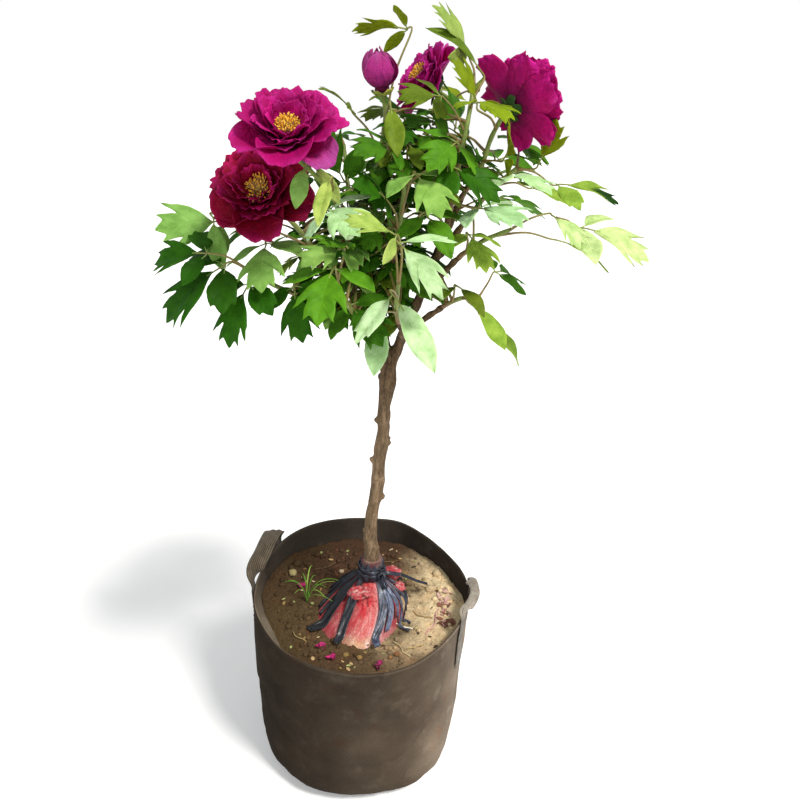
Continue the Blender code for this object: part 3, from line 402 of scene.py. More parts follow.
def webbing_look():
    look = Look("webbing", roughness=0.8, specular=0.3, sheen=0.1)
    u, v, _ = look.uv()
    ribs = look.wave((v, 2 * math.pi * 9))
    cross = look.wave((u, 2 * math.pi * 110))
    weave = look.total((ribs, 0.6), (cross, 0.12))
    rubbed = look.total(weave, look.noise(130.0))
    worn = look.ramp(rubbed, (0.10, (0.55, 0.55, 0.55)), (0.95, (1.45, 1.42, 1.35)))
    darkening = look.ramp(look.noise(60.0, detail=5.0), (0.35, (0.70, 0.66, 0.62)), (0.65, (1.1, 1.1, 1.1)))
    look.painted(worn, darkening)
    look.bump(look.total(weave, (look.noise(900.0), 0.4)), 0.0010, 0.8)
    return look.material


def soil_look():
    look = Look("soil", roughness=0.95, specular=0.15)
    crumb = look.noise(260.0, detail=8.0, roughness=0.7)
    clod = look.noise(85.0, detail=6.0, roughness=0.6)
    colour = look.ramp(crumb, (0.25, (0.38, 0.33, 0.30)), (0.5, (0.9, 0.88, 0.86)), (0.75, (1.5, 1.48, 1.42)))
    look.painted(colour, look.ramp(look.noise(38.0), (0.45, (1.0, 1.0, 1.0)), (0.7, (1.06, 0.95, 0.88))))
    look.bump(look.total((crumb, 0.6), (clod, 0.8)), 0.0035, 0.9)
    return look.material


def net_look():
    look = Look("net_cloth", roughness=0.75, specular=0.3, sheen=0.15)
    u, v, _ = look.uv()
    turn = look.math("MULTIPLY", u, 2 * math.pi * 46)
    drop = look.math("MULTIPLY", v, 2 * math.pi * 30)
    slants = (look.math(way, turn, drop) for way in ("ADD", "SUBTRACT"))
    one, two = (look.math("ABSOLUTE", look.math("SINE", slant)) for slant in slants)
    mesh = look.math("SUBTRACT", 1.0, look.math("MINIMUM", one, two))
    threads = look.ramp(mesh, (0.55, 0.0), (0.90, 1.0))
    under = look.mix(look.ramp(look.noise(60.0), (0.40, 0.0), (0.62, 1.0)), srgb("#c23a44"), srgb("#e8c2b4"))
    tint = look.tint()
    fibre = look.noise(500.0, detail=5.0, stretch=(1.0, 1.0, 0.25))
    colour = look.mix(threads, look.mix(0.22, tint, under), tint)
    colour = look.times(colour, look.ramp(fibre, (0.3, (0.72, 0.7, 0.7)), (0.7, (1.25, 1.25, 1.25))))
    look.put(look.inputs["Base Color"], colour)
    look.bump(look.total(threads, (fibre, 0.5)), 0.0012, 0.8)
    return look.material


def tape_look():
    look = Look("black_tape", roughness=0.38, specular=0.55)
    crease = look.noise(120.0, detail=5.0, stretch=(1.0, 1.0, 0.3))
    look.painted(look.ramp(crease, (0.35, srgb("#12141c")), (0.60, srgb("#262b38")), (0.80, srgb("#4a5060"))))
    look.put(look.inputs["Roughness"], look.ramp(look.noise(200.0), (0.3, 0.28), (0.7, 0.55)))
    look.bump(crease, 0.0014, 0.8)
    return look.material


def speckled_look(name, roughness, specular, stops, speckle, grain, height, strength):
    """A tinted surface with a speckle between two stops, and a grain; both are arguments of noise."""
    look = Look(name, roughness, specular)
    look.painted(look.ramp(look.noise(**speckle), *stops))
    look.bump(look.noise(**grain), height, strength)
    return look.material


# The bag: a soft felt wall that repeats the CAD model's crumpling and adds finer folds
BAG_HEIGHT, BAG_RIM_RADIUS, BAG_BASE_RADIUS, BAG_FOOT = 0.350, 0.196, 0.187, 0.045
RIM_SLOPE, FABRIC = 0.020, 0.003
SOIL_EDGE, SOIL_TILT = 0.312, 0.006
BAG_STEPS = 320


def wall_radius(height):
    taper = BAG_BASE_RADIUS + (BAG_RIM_RADIUS - BAG_BASE_RADIUS) * height / BAG_HEIGHT
    below = np.maximum(0.0, BAG_FOOT - height)
    return taper - (BAG_FOOT - np.sqrt(BAG_FOOT**2 - below**2))


def crumpled(angle, height):
    upper = blend(height, 0.06, 0.34)
    lower = 1 - blend(height, 0.01, 0.09)
    out = upper * (0.0035 * np.sin(2 * angle + 0.6) + 0.0018 * np.sin(5 * angle + 2.0))
    out += lower * 0.004 * (np.cos(4 * angle + 2.8) - 1) - upper * 0.007 * np.cos(angle)
    slope = RIM_SLOPE * np.sin(angle) + 0.002 * np.sin(3 * angle + 1.0)
    return out, slope * blend(height, SOIL_EDGE, BAG_HEIGHT)


def folds(angle, height):
    """Soft dents, upright ripples and a few sharp creases in the felt, in metres outwards."""
    angle, height = np.broadcast_arrays(angle, height)
    dents = 0.0030 * rough(polar(1, angle, height / CREASE_RADIUS), 1.7, 2, seed=1.0)
    dents = dents + 0.0012 * rough(polar(1, angle, height / CREASE_RADIUS * 0.25), 6.0, 3, seed=2.0)
    for heading, level, run, depth, width in CREASES:
        aside, above = turned(angle, heading) * CREASE_RADIUS, height - level
        along_it = aside * math.cos(run) + above * math.sin(run)
        across_it = above * math.cos(run) - aside * math.sin(run)
        dents = dents - depth * hill(across_it, 0, width) * hill(along_it, 0, 6 * width)
    return dents * blend(height, 0.0, 0.03) * (1 - 0.6 * blend(height, 0.315, 0.345))


# Heading, level, run from level in radians, depth and half width of each crease in the felt
CREASES = (
    (-47, 0.160, 0.95, 0.0040, 0.009), (-62, 0.118, 0.60, 0.0036, 0.008), (-84, 0.108, -0.04, 0.0028, 0.009),
    (-40, 0.100, 1.05, -0.0050, 0.016), (-60, 0.050, 0.75, 0.0040, 0.008), (-27, 0.150, -1.25, 0.0030, 0.009),
    (-95, 0.200, 0.15, 0.0016, 0.012), (-120, 0.120, -0.35, 0.0030, 0.010),
    (-150, 0.190, 0.55, 0.0034, 0.010), (-178, 0.110, -0.25, 0.0030, 0.011),
    (150, 0.210, 0.80, 0.0032, 0.009), (118, 0.130, -0.50, 0.0035, 0.010),
    (85, 0.230, 0.20, 0.0030, 0.010), (55, 0.100, 0.60, 0.0038, 0.009), (20, 0.190, -0.45, 0.0032, 0.010),
    (-8, 0.090, 0.35, 0.0034, 0.009), (-75, 0.270, -0.20, 0.0020, 0.012), (-165, 0.050, 0.10, 0.0028, 0.008),
)
CREASE_RADIUS = 0.19


def near(angle, heading, spread):
    """1 at this heading in degrees, falling off over the spread."""
    return hill(turned(angle, heading), 0.0, math.radians(spread))


def inner_off(angle, height):
    """How far in the lining lies: it hangs slack over the soil at the left."""
    slack = 0.021 * near(angle, 207, 24) * blend(height, 0.27, 0.306) * (1 - blend(height, 0.312, 0.346))
    # Under the soil it keeps clear of the creases
    return -FABRIC - slack - 0.006 * blend(0.30 - height, 0.0, 0.03)


def wall_points(angle, height, off=0.0):
    """Points on the felt wall; off is how far outside its outer face."""
    low = np.minimum(height, BAG_HEIGHT)
    out, rise = crumpled(angle, low)
    lean = 0.009 * near(angle, 213, 19) * blend(low, 0.26, 0.35)
    lean = lean + (0.009 * near(angle, 42, 22) - 0.004 * near(angle, 74, 10)) * blend(low, 0.25, 0.35)
    lean = lean + 0.006 * near(angle, 178, 26) * blend(low, 0.20, 0.34)
    return polar(wall_radius(low) + out + folds(angle, low) + off - lean, angle, height + rise)


def felt_tint(angle, levels, points, is_inner):
    """Paler at the right and darker at the left, partly washed and wet felt and partly painted sunlight and
    shade; a pale inner lining, paler at the left with painted sunlight, and a pale line on the hem.
    """
    # The felt's paleness by heading: painted sunlight at the right and painted shade at the left, on top of its
    # own washing and wet
    washed = np.interp(np.degrees(angle), *zip(*FELT_SHADES), period=360)
    spots = rough(points * (1, 1, 0.6), 9.0, 3, seed=5.0)[..., None]
    worn = near(angle, -44, 9) * hill(levels, 0.105, 0.045)
    shade = washed[..., None] * (1 + 0.13 * spots + 0.60 * worn[..., None])
    tint = shade * mix((1.0, 0.985, 0.955), (1.0, 1.06, 1.12), near(angle, -15, 28)[..., None])
    grey, pale = np.array((0.95, 1.02, 1.12)), np.array((2.7, 2.85, 2.8))
    # At the left the slack lining is paler, partly its own pale cloth and partly painted sunlight
    lining = mix(grey * (0.9 + 0.25 * spots), pale * (0.92 + 0.35 * spots), near(angle, 207, 26)[..., None])
    tint = np.where(is_inner, lining, tint)
    return tint * (1 + 0.50 * hill(levels, 0.3475, 0.0016)[..., None])


# The rounded rim: how far under the top and outside the wall
RIM = ((0.0022, 0.0006), (0.0005, -0.0004), (0.0, -0.0015), (0.0005, -0.0027), (0.0022, -0.0034))

# How pale the felt is by heading: dark at the left and washed at the right, partly the felt's own wet and
# washing and partly painted shade and sunlight
FELT_SHADES = ((-170, 0.55), (-150, 0.38), (-130, 0.42), (-107, 0.68), (-75, 1.00), (-50, 1.50), (-36, 2.30),
               (-20, 3.30), (0, 3.20), (30, 1.90), (80, 1.20), (130, 0.90), (165, 0.65))

# The heights of the lining's rings, from under the rim to the base
INNER_LEVELS = (0.347, 0.342, 0.336, 0.330, 0.323, 0.316, 0.308, 0.298, 0.285, 0.265, 0.235, 0.20, 0.165,
                0.13, 0.10, 0.07, 0.045, 0.02)


def grow_bag():
    pile, angle = Pile(), circle(BAG_STEPS)[None, :]
    foot = BAG_FOOT * (1 - np.cos(np.linspace(0, math.pi / 2, 14)))
    outer = np.array([*foot[1:], *np.linspace(BAG_FOOT, BAG_HEIGHT - 0.004, 60)[1:]])[:, None]
    rim = [BAG_HEIGHT - down for down, _ in RIM]
    inner = np.array(INNER_LEVELS)[:, None]
    rows = [wall_points(angle, outer, 0.0008 * blend(outer, 0.339, 0.3405))]
    rows += [wall_points(angle, np.array([[z]]), off) for z, (_, off) in zip(rim, RIM)]
    rows = np.concatenate([*rows, wall_points(angle, inner, inner_off(angle, inner))])
    levels = np.array([*outer[:, 0], *rim, *inner[:, 0]])[:, None]
    is_inner = (np.arange(len(levels)) >= len(outer) + 2)[:, None, None]
    tint = felt_tint(angle, levels, rows, is_inner)
    # The first ring lies on the floor, and a point in its middle and one inside close the base
    points = np.concatenate([polar(wall_radius(0.0), angle), rows]).reshape(-1, 3)
    uv = stacked(angle / (2 * math.pi), np.array([0, *levels[:, 0]])[:, None])
    faces = grid(len(levels) + 1, BAG_STEPS, closed=True) + fan(0, BAG_STEPS, len(points), down=True)
    faces += fan(len(points) - BAG_STEPS, BAG_STEPS, len(points) + 1)
    pile.add([*points, (0, 0, 0), (0, 0, FABRIC)], faces, [*uv.reshape(-1, 2), (0, 0), (0, 0)],
             np.concatenate([np.ones((BAG_STEPS, 3)), tint.reshape(-1, 3), np.ones((2, 3))]))
    pile.piece("grow_bag_felt", ["felt"], "bag_fabric", "grow_bag")


# The straps, sewn to the wall: the heights of the stops on a leg, and how many parts the arch has
STRAP_WIDTH, STRAP_THICKNESS, STRAP_OFF_WALL = 0.030, 0.0022, 0.0002
HANDLE_LEG, HANDLE_ARCH = (0.245, 0.300, 0.345, 0.364), 6

# Each one's heading and half spread in degrees, height and lean of the arch, how wide it is there, how much
# lower its far end is, and its colour: the left one's darkened with painted shade, the right one's paled
# with painted sunlight
Handle = namedtuple("Handle", "heading spread height lean arch_width far_drop colour")
HANDLES = {
    "handle_left": Handle(168, 16.0, 0.040, -0.010, 1.06, 0.004, "#5a5042"),
    "handle_right": Handle(-7, 13.5, 0.011, 0.007, 0.58, 0.013, "#a29a90"),
}


def strap_stops(spec):
    """Middle, width direction and normal of the CAD strap at each of its stops."""
    middle, spread = math.radians(spec.heading), math.radians(spec.spread)
    out, up = Vector(polar(1, middle)), Vector((0, 0, 1))
    stops = [(middle - spread, z, 0.0, up) for z in HANDLE_LEG]
    for step in range(1, HANDLE_ARCH):
        swing, fall = math.sin(math.pi * step / HANDLE_ARCH), math.cos(math.pi * step / HANDLE_ARCH)
        run = Vector((-out.y, out.x, 0.0)) * swing + up * fall
        stops.append((middle - spread * fall, HANDLE_LEG[-1], swing, run))
    stops += [(middle + spread, z, 0.0, -up) for z in reversed(HANDLE_LEG)]
    for number, (angle, z, swing, run) in enumerate(stops):
        off_wall = STRAP_OFF_WALL + STRAP_THICKNESS / 2 + 0.0008
        centre = Vector(wall_points(np.array(angle), np.array(z), off_wall))
        centre += up * spec.height * swing**0.7 + out * spec.lean * swing**1.5
        if z > BAG_HEIGHT:
            centre -= up * spec.far_drop * float(blend(number / len(stops), 0.35, 0.75))
        flat = 0.5 * math.pi * min(1.0, 1.5 * swing)
        across = Vector((-math.sin(angle), math.cos(angle), 0.0)) * math.cos(flat) + out * math.sin(flat)
        across = (across - run * across.dot(run)).normalized()
        yield centre, across, run.cross(across)


def strap(name):
    pile, spec = Pile(), HANDLES[name]
    route, across, normal = (smooth_route(stops, 10) for stops in zip(*strap_stops(spec)))
    half, thick = STRAP_WIDTH / 2, STRAP_THICKNESS / 2
    v = np.linspace(-1, 1, 14)
    edge = thick * np.sqrt(1 - 0.8 * v**6)
    rows, parts = [], np.linspace(0, 1, len(route))
    for i, (here, side, up, part) in enumerate(zip(route, across, normal, parts)):
        arch = math.sin(math.pi * part) ** 2
        # Lengthwise puckers where it leaves the wall
        pucker = hill(part, 0.27, 0.14) + 0.6 * hill(part, 0.76, 0.10)
        sag = (0.0009 * math.sin(i * 0.21) + 0.0030 * arch) * v**2
        sag = sag + 0.0013 * pucker * np.sin(8.5 * v + 1.2 + i * 0.03)
        wide = half * (1 - (1 - spec.arch_width) * arch) * v
        flat = np.array(here) + unit(np.array(side)) * wide[:, None]
        above = unit(np.array(up))
        rows.append([*(flat + above * (sag + edge)[:, None]), *(flat + above * (sag - edge)[:, None])[::-1]])
    # The sewn legs are darker than the arch: painted shade where they lie against the wall
    darkening = 0.45 + 0.55 * blend(np.sin(math.pi * parts), 0.45, 0.85)
    tint = np.repeat(darkening[:, None] * srgb(spec.colour), 2 * len(v), axis=0)
    pile.skin(rows, stacked(parts[:, None], np.concatenate([v, v[::-1]]) * 0.5 + 0.5), tint)
    # Two rows of stitches hold each sewn leg
    for first in (3, len(route) - 23):
        for k in range(first, first + 21, 2):
            side, up = across[k].normalized(), normal[k].normalized()
            for u in (-0.72, 0.72):
                spot = route[k] + side * half * u + up * (thick + 0.0003)
                pile.tube([spot, spot + (route[k + 1] - route[k]) * 0.8], 0.00035, 5, srgb("#2c2925"))
    pile.piece(name.replace("handle", "strap"), ["webbing"], "webbing", name)


# The soil
BALL_MIDDLE = np.array((-0.004, -0.022, 0.0))
SOIL_RINGS, SOIL_STEPS = 86, 270
CLODS, SCRAPS, DRIED_SCRAPS = 520, 120, 34


def from_ball(x, y):
    """How far a place is from the root ball's axis."""
    return np.hypot(x - BALL_MIDDLE[0], y - BALL_MIDDLE[1])


def soil_tint(points):
    """Dark brown at the back and left, partly wet soil and partly painted shade; tan at the right, partly dry
    soil and partly painted sunlight.
    """
    x, y = points[..., 0], points[..., 1]
    n = rough(points * (1, 1, 0), 24.0, 3, seed=8.0)
    # The tan at the right is dry soil with painted sunlight; the dark at the back is wet soil with painted
    # shade
    dry = blend(0.75 * x - 0.12 * y + 0.030 * n, 0.012, 0.115)
    damp_and_shade = blend(y - 0.5 * x + 0.03 * n, 0.02, 0.11)
    colour = mix(srgb("#584731"), srgb("#dcc8a2"), dry[..., None])
    colour = mix(colour, srgb("#8d7355"), (0.6 * blend(-y + 0.03 * n, 0.02, 0.13) * dry)[..., None])
    colour = mix(colour, srgb("#4f3a2b"), (damp_and_shade * (1 - dry))[..., None])
    # Painted shadow darkens the soil along the front
    painted_front_shadow = blend(-y + 0.02 * n, 0.105, 0.15)[..., None]
    colour = mix(colour, srgb("#4c3a29"), 0.7 * painted_front_shadow)
    olive = blend(-x + 0.04 * n, 0.05, 0.12)[..., None]
    return mix(colour, srgb("#453922"), 0.5 * olive)


def soil_height(x, y, radius):
    """The ground at a place; radius is how far out it is between ball and wall, 0 to 1."""
    flat = stacked(x, y, 0.0)
    z = SOIL_EDGE + SOIL_TILT * y / BAG_RIM_RADIUS - 0.0015
    z = z + 0.0035 * rough(flat, 22.0, 2, seed=3.0) + 0.0030 * np.abs(rough(flat, 60.0, 3, seed=4.0))
    z = z + 0.0013 * rough(flat, 210.0, 3, seed=6.0)
    # It sinks a little in front of the ball
    z = z - 0.006 * hill(from_ball(x, y), 0.083, 0.022) * blend(BALL_MIDDLE[1] - y, 0.01, 0.08)
    return z + 0.004 * blend(radius, 0.9, 1.0) * rough(flat, 14.0, 2, seed=7.0)


def soil_ground():
    pile, angle = Pile(), circle(SOIL_STEPS)[None, :]
    part = np.linspace(0.0, 1.0, SOIL_RINGS)[:, None] ** 0.85
    edge, centre = np.array([[SOIL_EDGE]]), BALL_MIDDLE[:2]
    wall = wall_points(angle, edge, inner_off(angle, edge) - 0.0003)[..., :2]
    flat = mix(centre + polar(0.066, angle)[..., :2], wall, part[..., None])
    x, y = flat[..., 0], flat[..., 1]
    top = stacked(x, y, soil_height(x, y, part))
    below = np.array([0.30, 0.28, 0.20, 0.10, 0.045, 0.02, 0.006])[:, None]
    inside = inner_off(angle, below) - 0.0012 - 0.006 * blend(0.30 - below, 0.0, 0.03)
    skirt = wall_points(angle, below, inside)
    rows = np.concatenate([top, skirt])
    points = np.array([*rows.reshape(-1, 3), (0, 0, 0.0045), (*centre, 0.300)])
    low, mid = len(points) - 2, len(points) - 1
    faces = grid(len(rows), SOIL_STEPS, closed=True)
    faces += fan(low - SOIL_STEPS, SOIL_STEPS, low, down=True) + fan(0, SOIL_STEPS, mid)
    pile.add(points, faces, points[:, :2] * 5, soil_tint(points))
    return pile.piece("soil_ground", ["soil"], "soil", "soil")


def lump(pile, spot, size, tint, draw, squash=0.8):
    """A rough clod or pebble."""
    turn = [draw.uniform(-9, 9) for _ in range(3)]
    points = LUMP_POINTS * (1 + 0.30 * rough(LUMP_POINTS + turn, 1.6, 2))[:, None] * size
    spin = draw.uniform(0, 6.28)
    axis = Vector((draw.uniform(-1, 1), draw.uniform(-1, 1), 1)).normalized()
    points = points @ np.array(Matrix.Rotation(spin, 3, axis)).T * (1, 1, squash)
    pile.add(points + np.array(spot), LUMP_FACES, points[:, :2] * 20, tint)


def make_lump():
    shaped = bmesh.new()
    bmesh.ops.create_icosphere(shaped, subdivisions=2, radius=1.0)
    points = np.array([v.co for v in shaped.verts])
    faces = [tuple(v.index for v in f.verts) for f in shaped.faces]
    shaped.free()
    return points, faces


LUMP_POINTS, LUMP_FACES = make_lump()


def ground_at(tree, x, y):
    hit = tree.ray_cast(Vector((x, y, 1.0)), Vector((0, 0, -1)))[0]
    return hit.z if hit else SOIL_EDGE


def clods(ground):
    pile, draw = Pile(), random.Random(31)
    faces = [tuple(face.vertices) for face in ground.data.polygons]
    tree = BVHTree.FromPolygons([v.co for v in ground.data.vertices], faces)
    for _ in range(CLODS):
        angle = draw.uniform(0, 2 * math.pi)
        radius = math.sqrt(draw.uniform(0.14, 0.95)) * (0.176 - 0.014 * near(angle, 205, 30))
        x, y = radius * math.cos(angle), radius * math.sin(angle)
        if from_ball(x, y) < 0.078:
            continue
        size = 0.0014 + 0.0042 * draw.random() ** 3.0
        if y > 0.03 and draw.random() < 0.35:
            size *= 1.7
        tint = soil_tint(np.array([[x, y, 0.0]]))[0] * draw.uniform(0.72, 1.3)
        if draw.random() < 0.05:
            tint = srgb("#6e4a38") * draw.uniform(0.8, 1.2)
        lump(pile, (x, y, ground_at(tree, x, y) + size * 0.15), size, tint, draw)
    for x, y, size, code in PEBBLES:
        lump(pile, (x, y, ground_at(tree, x, y) + size * 0.4), size, srgb(code), draw, 0.7)
    pile.piece("soil_clods", ["soil"], "soil", "soil")
    return tree


def flake(pile, tree, x, y, turn, ahead, aside, rise, tint):
    """A thin flake on the soil: how far ahead, aside and up each of its points is."""
    place = stacked(x + ahead * math.cos(turn) - aside * math.sin(turn),
                    y + ahead * math.sin(turn) + aside * math.cos(turn), rise + ground_at(tree, x, y))
    rows, columns = place.shape[:2]
    pile.blade(place, stacked(*square(rows, columns)), tint, 0.0004)


def square(rows, columns, low=-1):
    """A grid's two running values, from low to 1 along the rows and from -1 to 1 across them."""
    return np.meshgrid(np.linspace(low, 1, rows), np.linspace(-1, 1, columns), indexing="ij")


def fallen_petal(pile, tree, x, y, turn, k, draw):
    x, y = x + draw.uniform(-0.006, 0.006) * k, y + draw.uniform(-0.006, 0.006) * k
    length, width = draw.uniform(0.013, 0.019), draw.uniform(0.008, 0.012)
    u, v = square(8, 7)
    wide = np.sqrt(np.clip(1 - u**2 * 0.96, 0, 1)) * (0.75 + 0.25 * u)
    rise = 0.0022 + 0.0035 * v**2 + 0.0018 * np.sin(u * 3 + k) * v + 0.0016 * u**2
    tint = mix(srgb("#5e1640"), srgb("#b02468"), draw.uniform(0, 1))
    flake(pile, tree, x, y, math.radians(turn + 70 * k), u * length / 2, v * wide * width / 2, rise, tint)


def straw(pile, tree, start, end, code):
    points = []
    for k in range(7):
        x, y = mix(start, end, k / 6)
        x, y = x + 0.003 * math.sin(k * 1.3 + start[0] * 90), y + 0.002 * math.cos(k * 1.1)
        points.append((x, y, ground_at(tree, x, y) + 0.0016 + 0.0015 * math.sin(k / 6 * math.pi)))
    pile.tube(smooth_route(points, 3), 0.0009 if code != "#e9e2cf" else 0.0011, 6, srgb(code))


def scrap(pile, tree, dried, draw):
    """A dried scrap against the wall at the right, or a crumb of leaf and bark anywhere."""
    if dried:
        x, y = 0.152 + draw.uniform(-0.014, 0.012), draw.uniform(-0.045, 0.050)
        colour = draw.choice(("#b98a86", "#a0706c", "#8c5a4a", "#c9a79a", "#6d4a38"))
        size = draw.uniform(0.004, 0.010)
    else:
        a, r = draw.uniform(0, 6.283), math.sqrt(draw.uniform(0.2, 0.9)) * 0.176
        x, y = r * math.cos(a), r * math.sin(a)
        colour = draw.choice(("#8a7346", "#5a4328", "#9aa064", "#b59a6e", "#40301f", "#c2b48c"))
        size = draw.uniform(0.0022, 0.0055)
    if from_ball(x, y) < 0.082:
        return
    u, v = square(5, 4)
    turn, curl = draw.uniform(0, 6.283), draw.uniform(0.1, 0.7)
    wide = np.sqrt(np.clip(1.02 - u**2, 0, 1)) * draw.uniform(0.25, 0.7)
    rise = curl * size * (v**2 * wide + 0.3 * u**2) + 0.0012
    flake(pile, tree, x, y, turn, u * size, v * wide * size, rise, srgb(colour))


# Place, half size and colour of the pale stones and clumps
PEBBLES = (
    (-0.049, 0.080, 0.0050, "#b3a184"), (-0.142, 0.066, 0.0085, "#a09468"),
    (0.055, -0.130, 0.0040, "#8f6a48"), (0.066, -0.122, 0.0050, "#86603f"),
    (-0.020, -0.128, 0.0055, "#8a7548"), (0.003, -0.134, 0.0050, "#94784a"),
    (0.112, 0.072, 0.0040, "#9a8a5e"), (0.098, -0.060, 0.0035, "#b3a478"), (0.030, 0.125, 0.0065, "#5c4634"),
)
PETALS_DOWN = ((0.036, -0.148, 40), (-0.045, -0.140, 200), (-0.120, 0.028, 120), (-0.062, -0.118, 310))
STRAWS = (
    ((0.055, -0.050), (0.092, -0.062), "#e9e2cf"), ((0.118, -0.075), (0.142, -0.005), "#c9909c"),
    ((0.090, -0.020), (0.128, -0.032), "#a8895c"), ((0.140, 0.020), (0.158, -0.020), "#8c7454"),
    ((0.080, -0.110), (0.110, -0.098), "#b79c6a"), ((-0.120, -0.085), (-0.090, -0.108), "#9c8a5a"),
    ((0.020, 0.110), (0.070, 0.128), "#7c6242"), ((-0.100, 0.080), (-0.060, 0.105), "#6c5a3c"),
    ((0.110, 0.050), (0.150, 0.040), "#b89a68"), ((0.060, -0.090), (0.088, -0.128), "#cdbb8e"),
)


def litter(tree):
    pile, draw = Pile(), random.Random(47)
    for x, y, turn in PETALS_DOWN:
        for k in range(2):
            fallen_petal(pile, tree, x, y, turn, k, draw)
    for start, end, code in STRAWS:
        straw(pile, tree, start, end, code)
    for i in range(SCRAPS):
        scrap(pile, tree, i < DRIED_SCRAPS, draw)
    pile.piece("soil_litter", ["bits"], "soil", "soil")


# The wrapped root ball, its tie and its strips
BALL_UPRIGHT, BALL_RADIUS, BALL_FLOOR, BALL_BELLY = 0.350, 0.087, 0.245, 0.298
NECK_FOOT, NECK_RADIUS, NECK_TOP = 0.376, 0.0200, 0.414
TIE_MIDDLE, TIE_LOW, TIE_HIGH = 0.3955, 0.3775, 0.4135
FOOT_AT = np.array((0.012, 0.0, 0.0))
BALL_STEPS = 216


def ball_radius(height):
    part = np.clip((height - BALL_BELLY) / (NECK_FOOT - BALL_BELLY), 0.0, 1.0)
    return NECK_RADIUS + (BALL_RADIUS - NECK_RADIUS) * (1 - part) ** 0.9


def ball_axis(height):
    return mix(BALL_MIDDLE, FOOT_AT, blend(height, BALL_BELLY, BALL_UPRIGHT)[..., None])


def net_radius(angle, level, ring):
    """How far the cloth lies from the ball's axis, with its pleats, bulges and crumples."""
    radius = ball_radius(level)
    pleats = np.sin(angle * 17 + 2.2 * np.sin(angle * 3)) * 0.6 + np.sin(angle * 29 + 1.0) * 0.4
    bulge = 0.0030 * rough(ring, 1.9, 2, seed=12.0) + 0.0010 * rough(ring, 7.0, 3, seed=13.0)
    radius = radius + 0.0017 * pleats * blend(level, 0.305, 0.385) * (radius / 0.05) - 0.0008
    radius = radius + bulge * (1 - 0.8 * blend(level, 0.36, 0.38))
    # A bunch of red cloth sticks out at the right, and the open front is crumpled
    radius = radius + 0.011 * near(angle, 22, 20) * hill(level, 0.364, 0.011)
    open_front = near(angle, -84, 26) * blend(level, 0.30, 0.32) * (1 - blend(level, 0.365, 0.378))
    fine = 0.0022 + 0.0022 * rough(ring * (2.2, 2.2, 1.0), 5.0, 3, seed=18.0)
    coarse = 0.004 + 0.0065 * rough(ring * (1.5, 1.5, 2.2), 7.5, 3, seed=19.0)
    return radius + open_front * (fine + coarse * blend(level, 0.332, 0.348))


def net_tint(angle, level, ring):
    """An earthy foot, pale in the open front and dark red round it; red above, streaked and washed paler."""
    foot_line = level + 0.012 * rough(ring, 3.1, 2, seed=14.0) - 0.008 * near(angle, -68, 14)
    red = blend(foot_line, 0.318, 0.338)[..., None]
    front = near(angle, -84, 24)[..., None]
    foot, above = mix(srgb("#6c2a2a"), srgb("#dcb088"), front), mix(srgb("#8a2c36"), srgb("#d2605c"), front)
    tint = mix(foot, above, blend(level + 0.006 * rough(ring, 4.0, 2), 0.306, 0.316)[..., None])
    tint = mix(tint, srgb("#cc1526"), red)
    streaks = ring * (3, 3, 1)
    white = 0.75 * blend(rough(streaks, 4.4, 3, seed=15.0), 0.05, 0.40) * (0.35 + 0.85 * near(angle, -66, 16))
    tint = mix(tint, srgb("#f6dcd6"), white[..., None] * (1 - 0.5 * red))
    washed = near(angle, -60, 15) * (0.75 + 0.5 * rough(streaks, 6.0, 2, seed=17.0))
    tint = mix(tint, srgb("#f2c0c0"), np.clip(washed, 0, 1)[..., None])
    crimson = (1 - near(angle, -86, 29)) * blend(rough(ring, 3.0, 2, seed=16.0), -0.5, 0.1)
    tint = mix(tint, srgb("#a01528"), 0.80 * crimson[..., None])
    # Painted shade darkens the neck under the tape's turns
    return mix(tint, srgb("#1a1618"), 0.92 * blend(level, 0.380, 0.386)[..., None])


# Middle, half sizes and seed of the crumpled bunches of red cloth beside the neck and in front of it
BUNCHES = (
    ((0.050, 0.014, 0.371), (0.017, 0.014, 0.011), 1.0),
    ((0.063, -0.006, 0.356), (0.012, 0.011, 0.010), 2.0),
    ((-0.009, -0.036, 0.361), (0.017, 0.011, 0.013), 5.0),
    ((0.008, -0.038, 0.366), (0.011, 0.009, 0.010), 6.0),
)


def bunch(pile, at, sizes, seed):
    rows, columns = 26, 38
    rise, turn = np.linspace(-math.pi / 2, math.pi / 2, rows)[:, None], circle(columns)[None, :]
    ball = polar(np.cos(rise), turn, np.sin(rise))
    size = 1 + 0.30 * rough(ball, 1.8, 2, seed=seed) + 0.16 * rough(ball, 5.0, 3, seed=seed + 4)
    wear = blend(rough(ball, 3.0, 3, seed=seed + 7), 0.15, 0.5)[..., None]
    pile.add(ball * size[..., None] * sizes + at, grid(rows, columns, closed=True),
             stacked(turn / (2 * math.pi), rise / 6), mix(srgb("#e03546"), srgb("#f5c4bc"), wear))


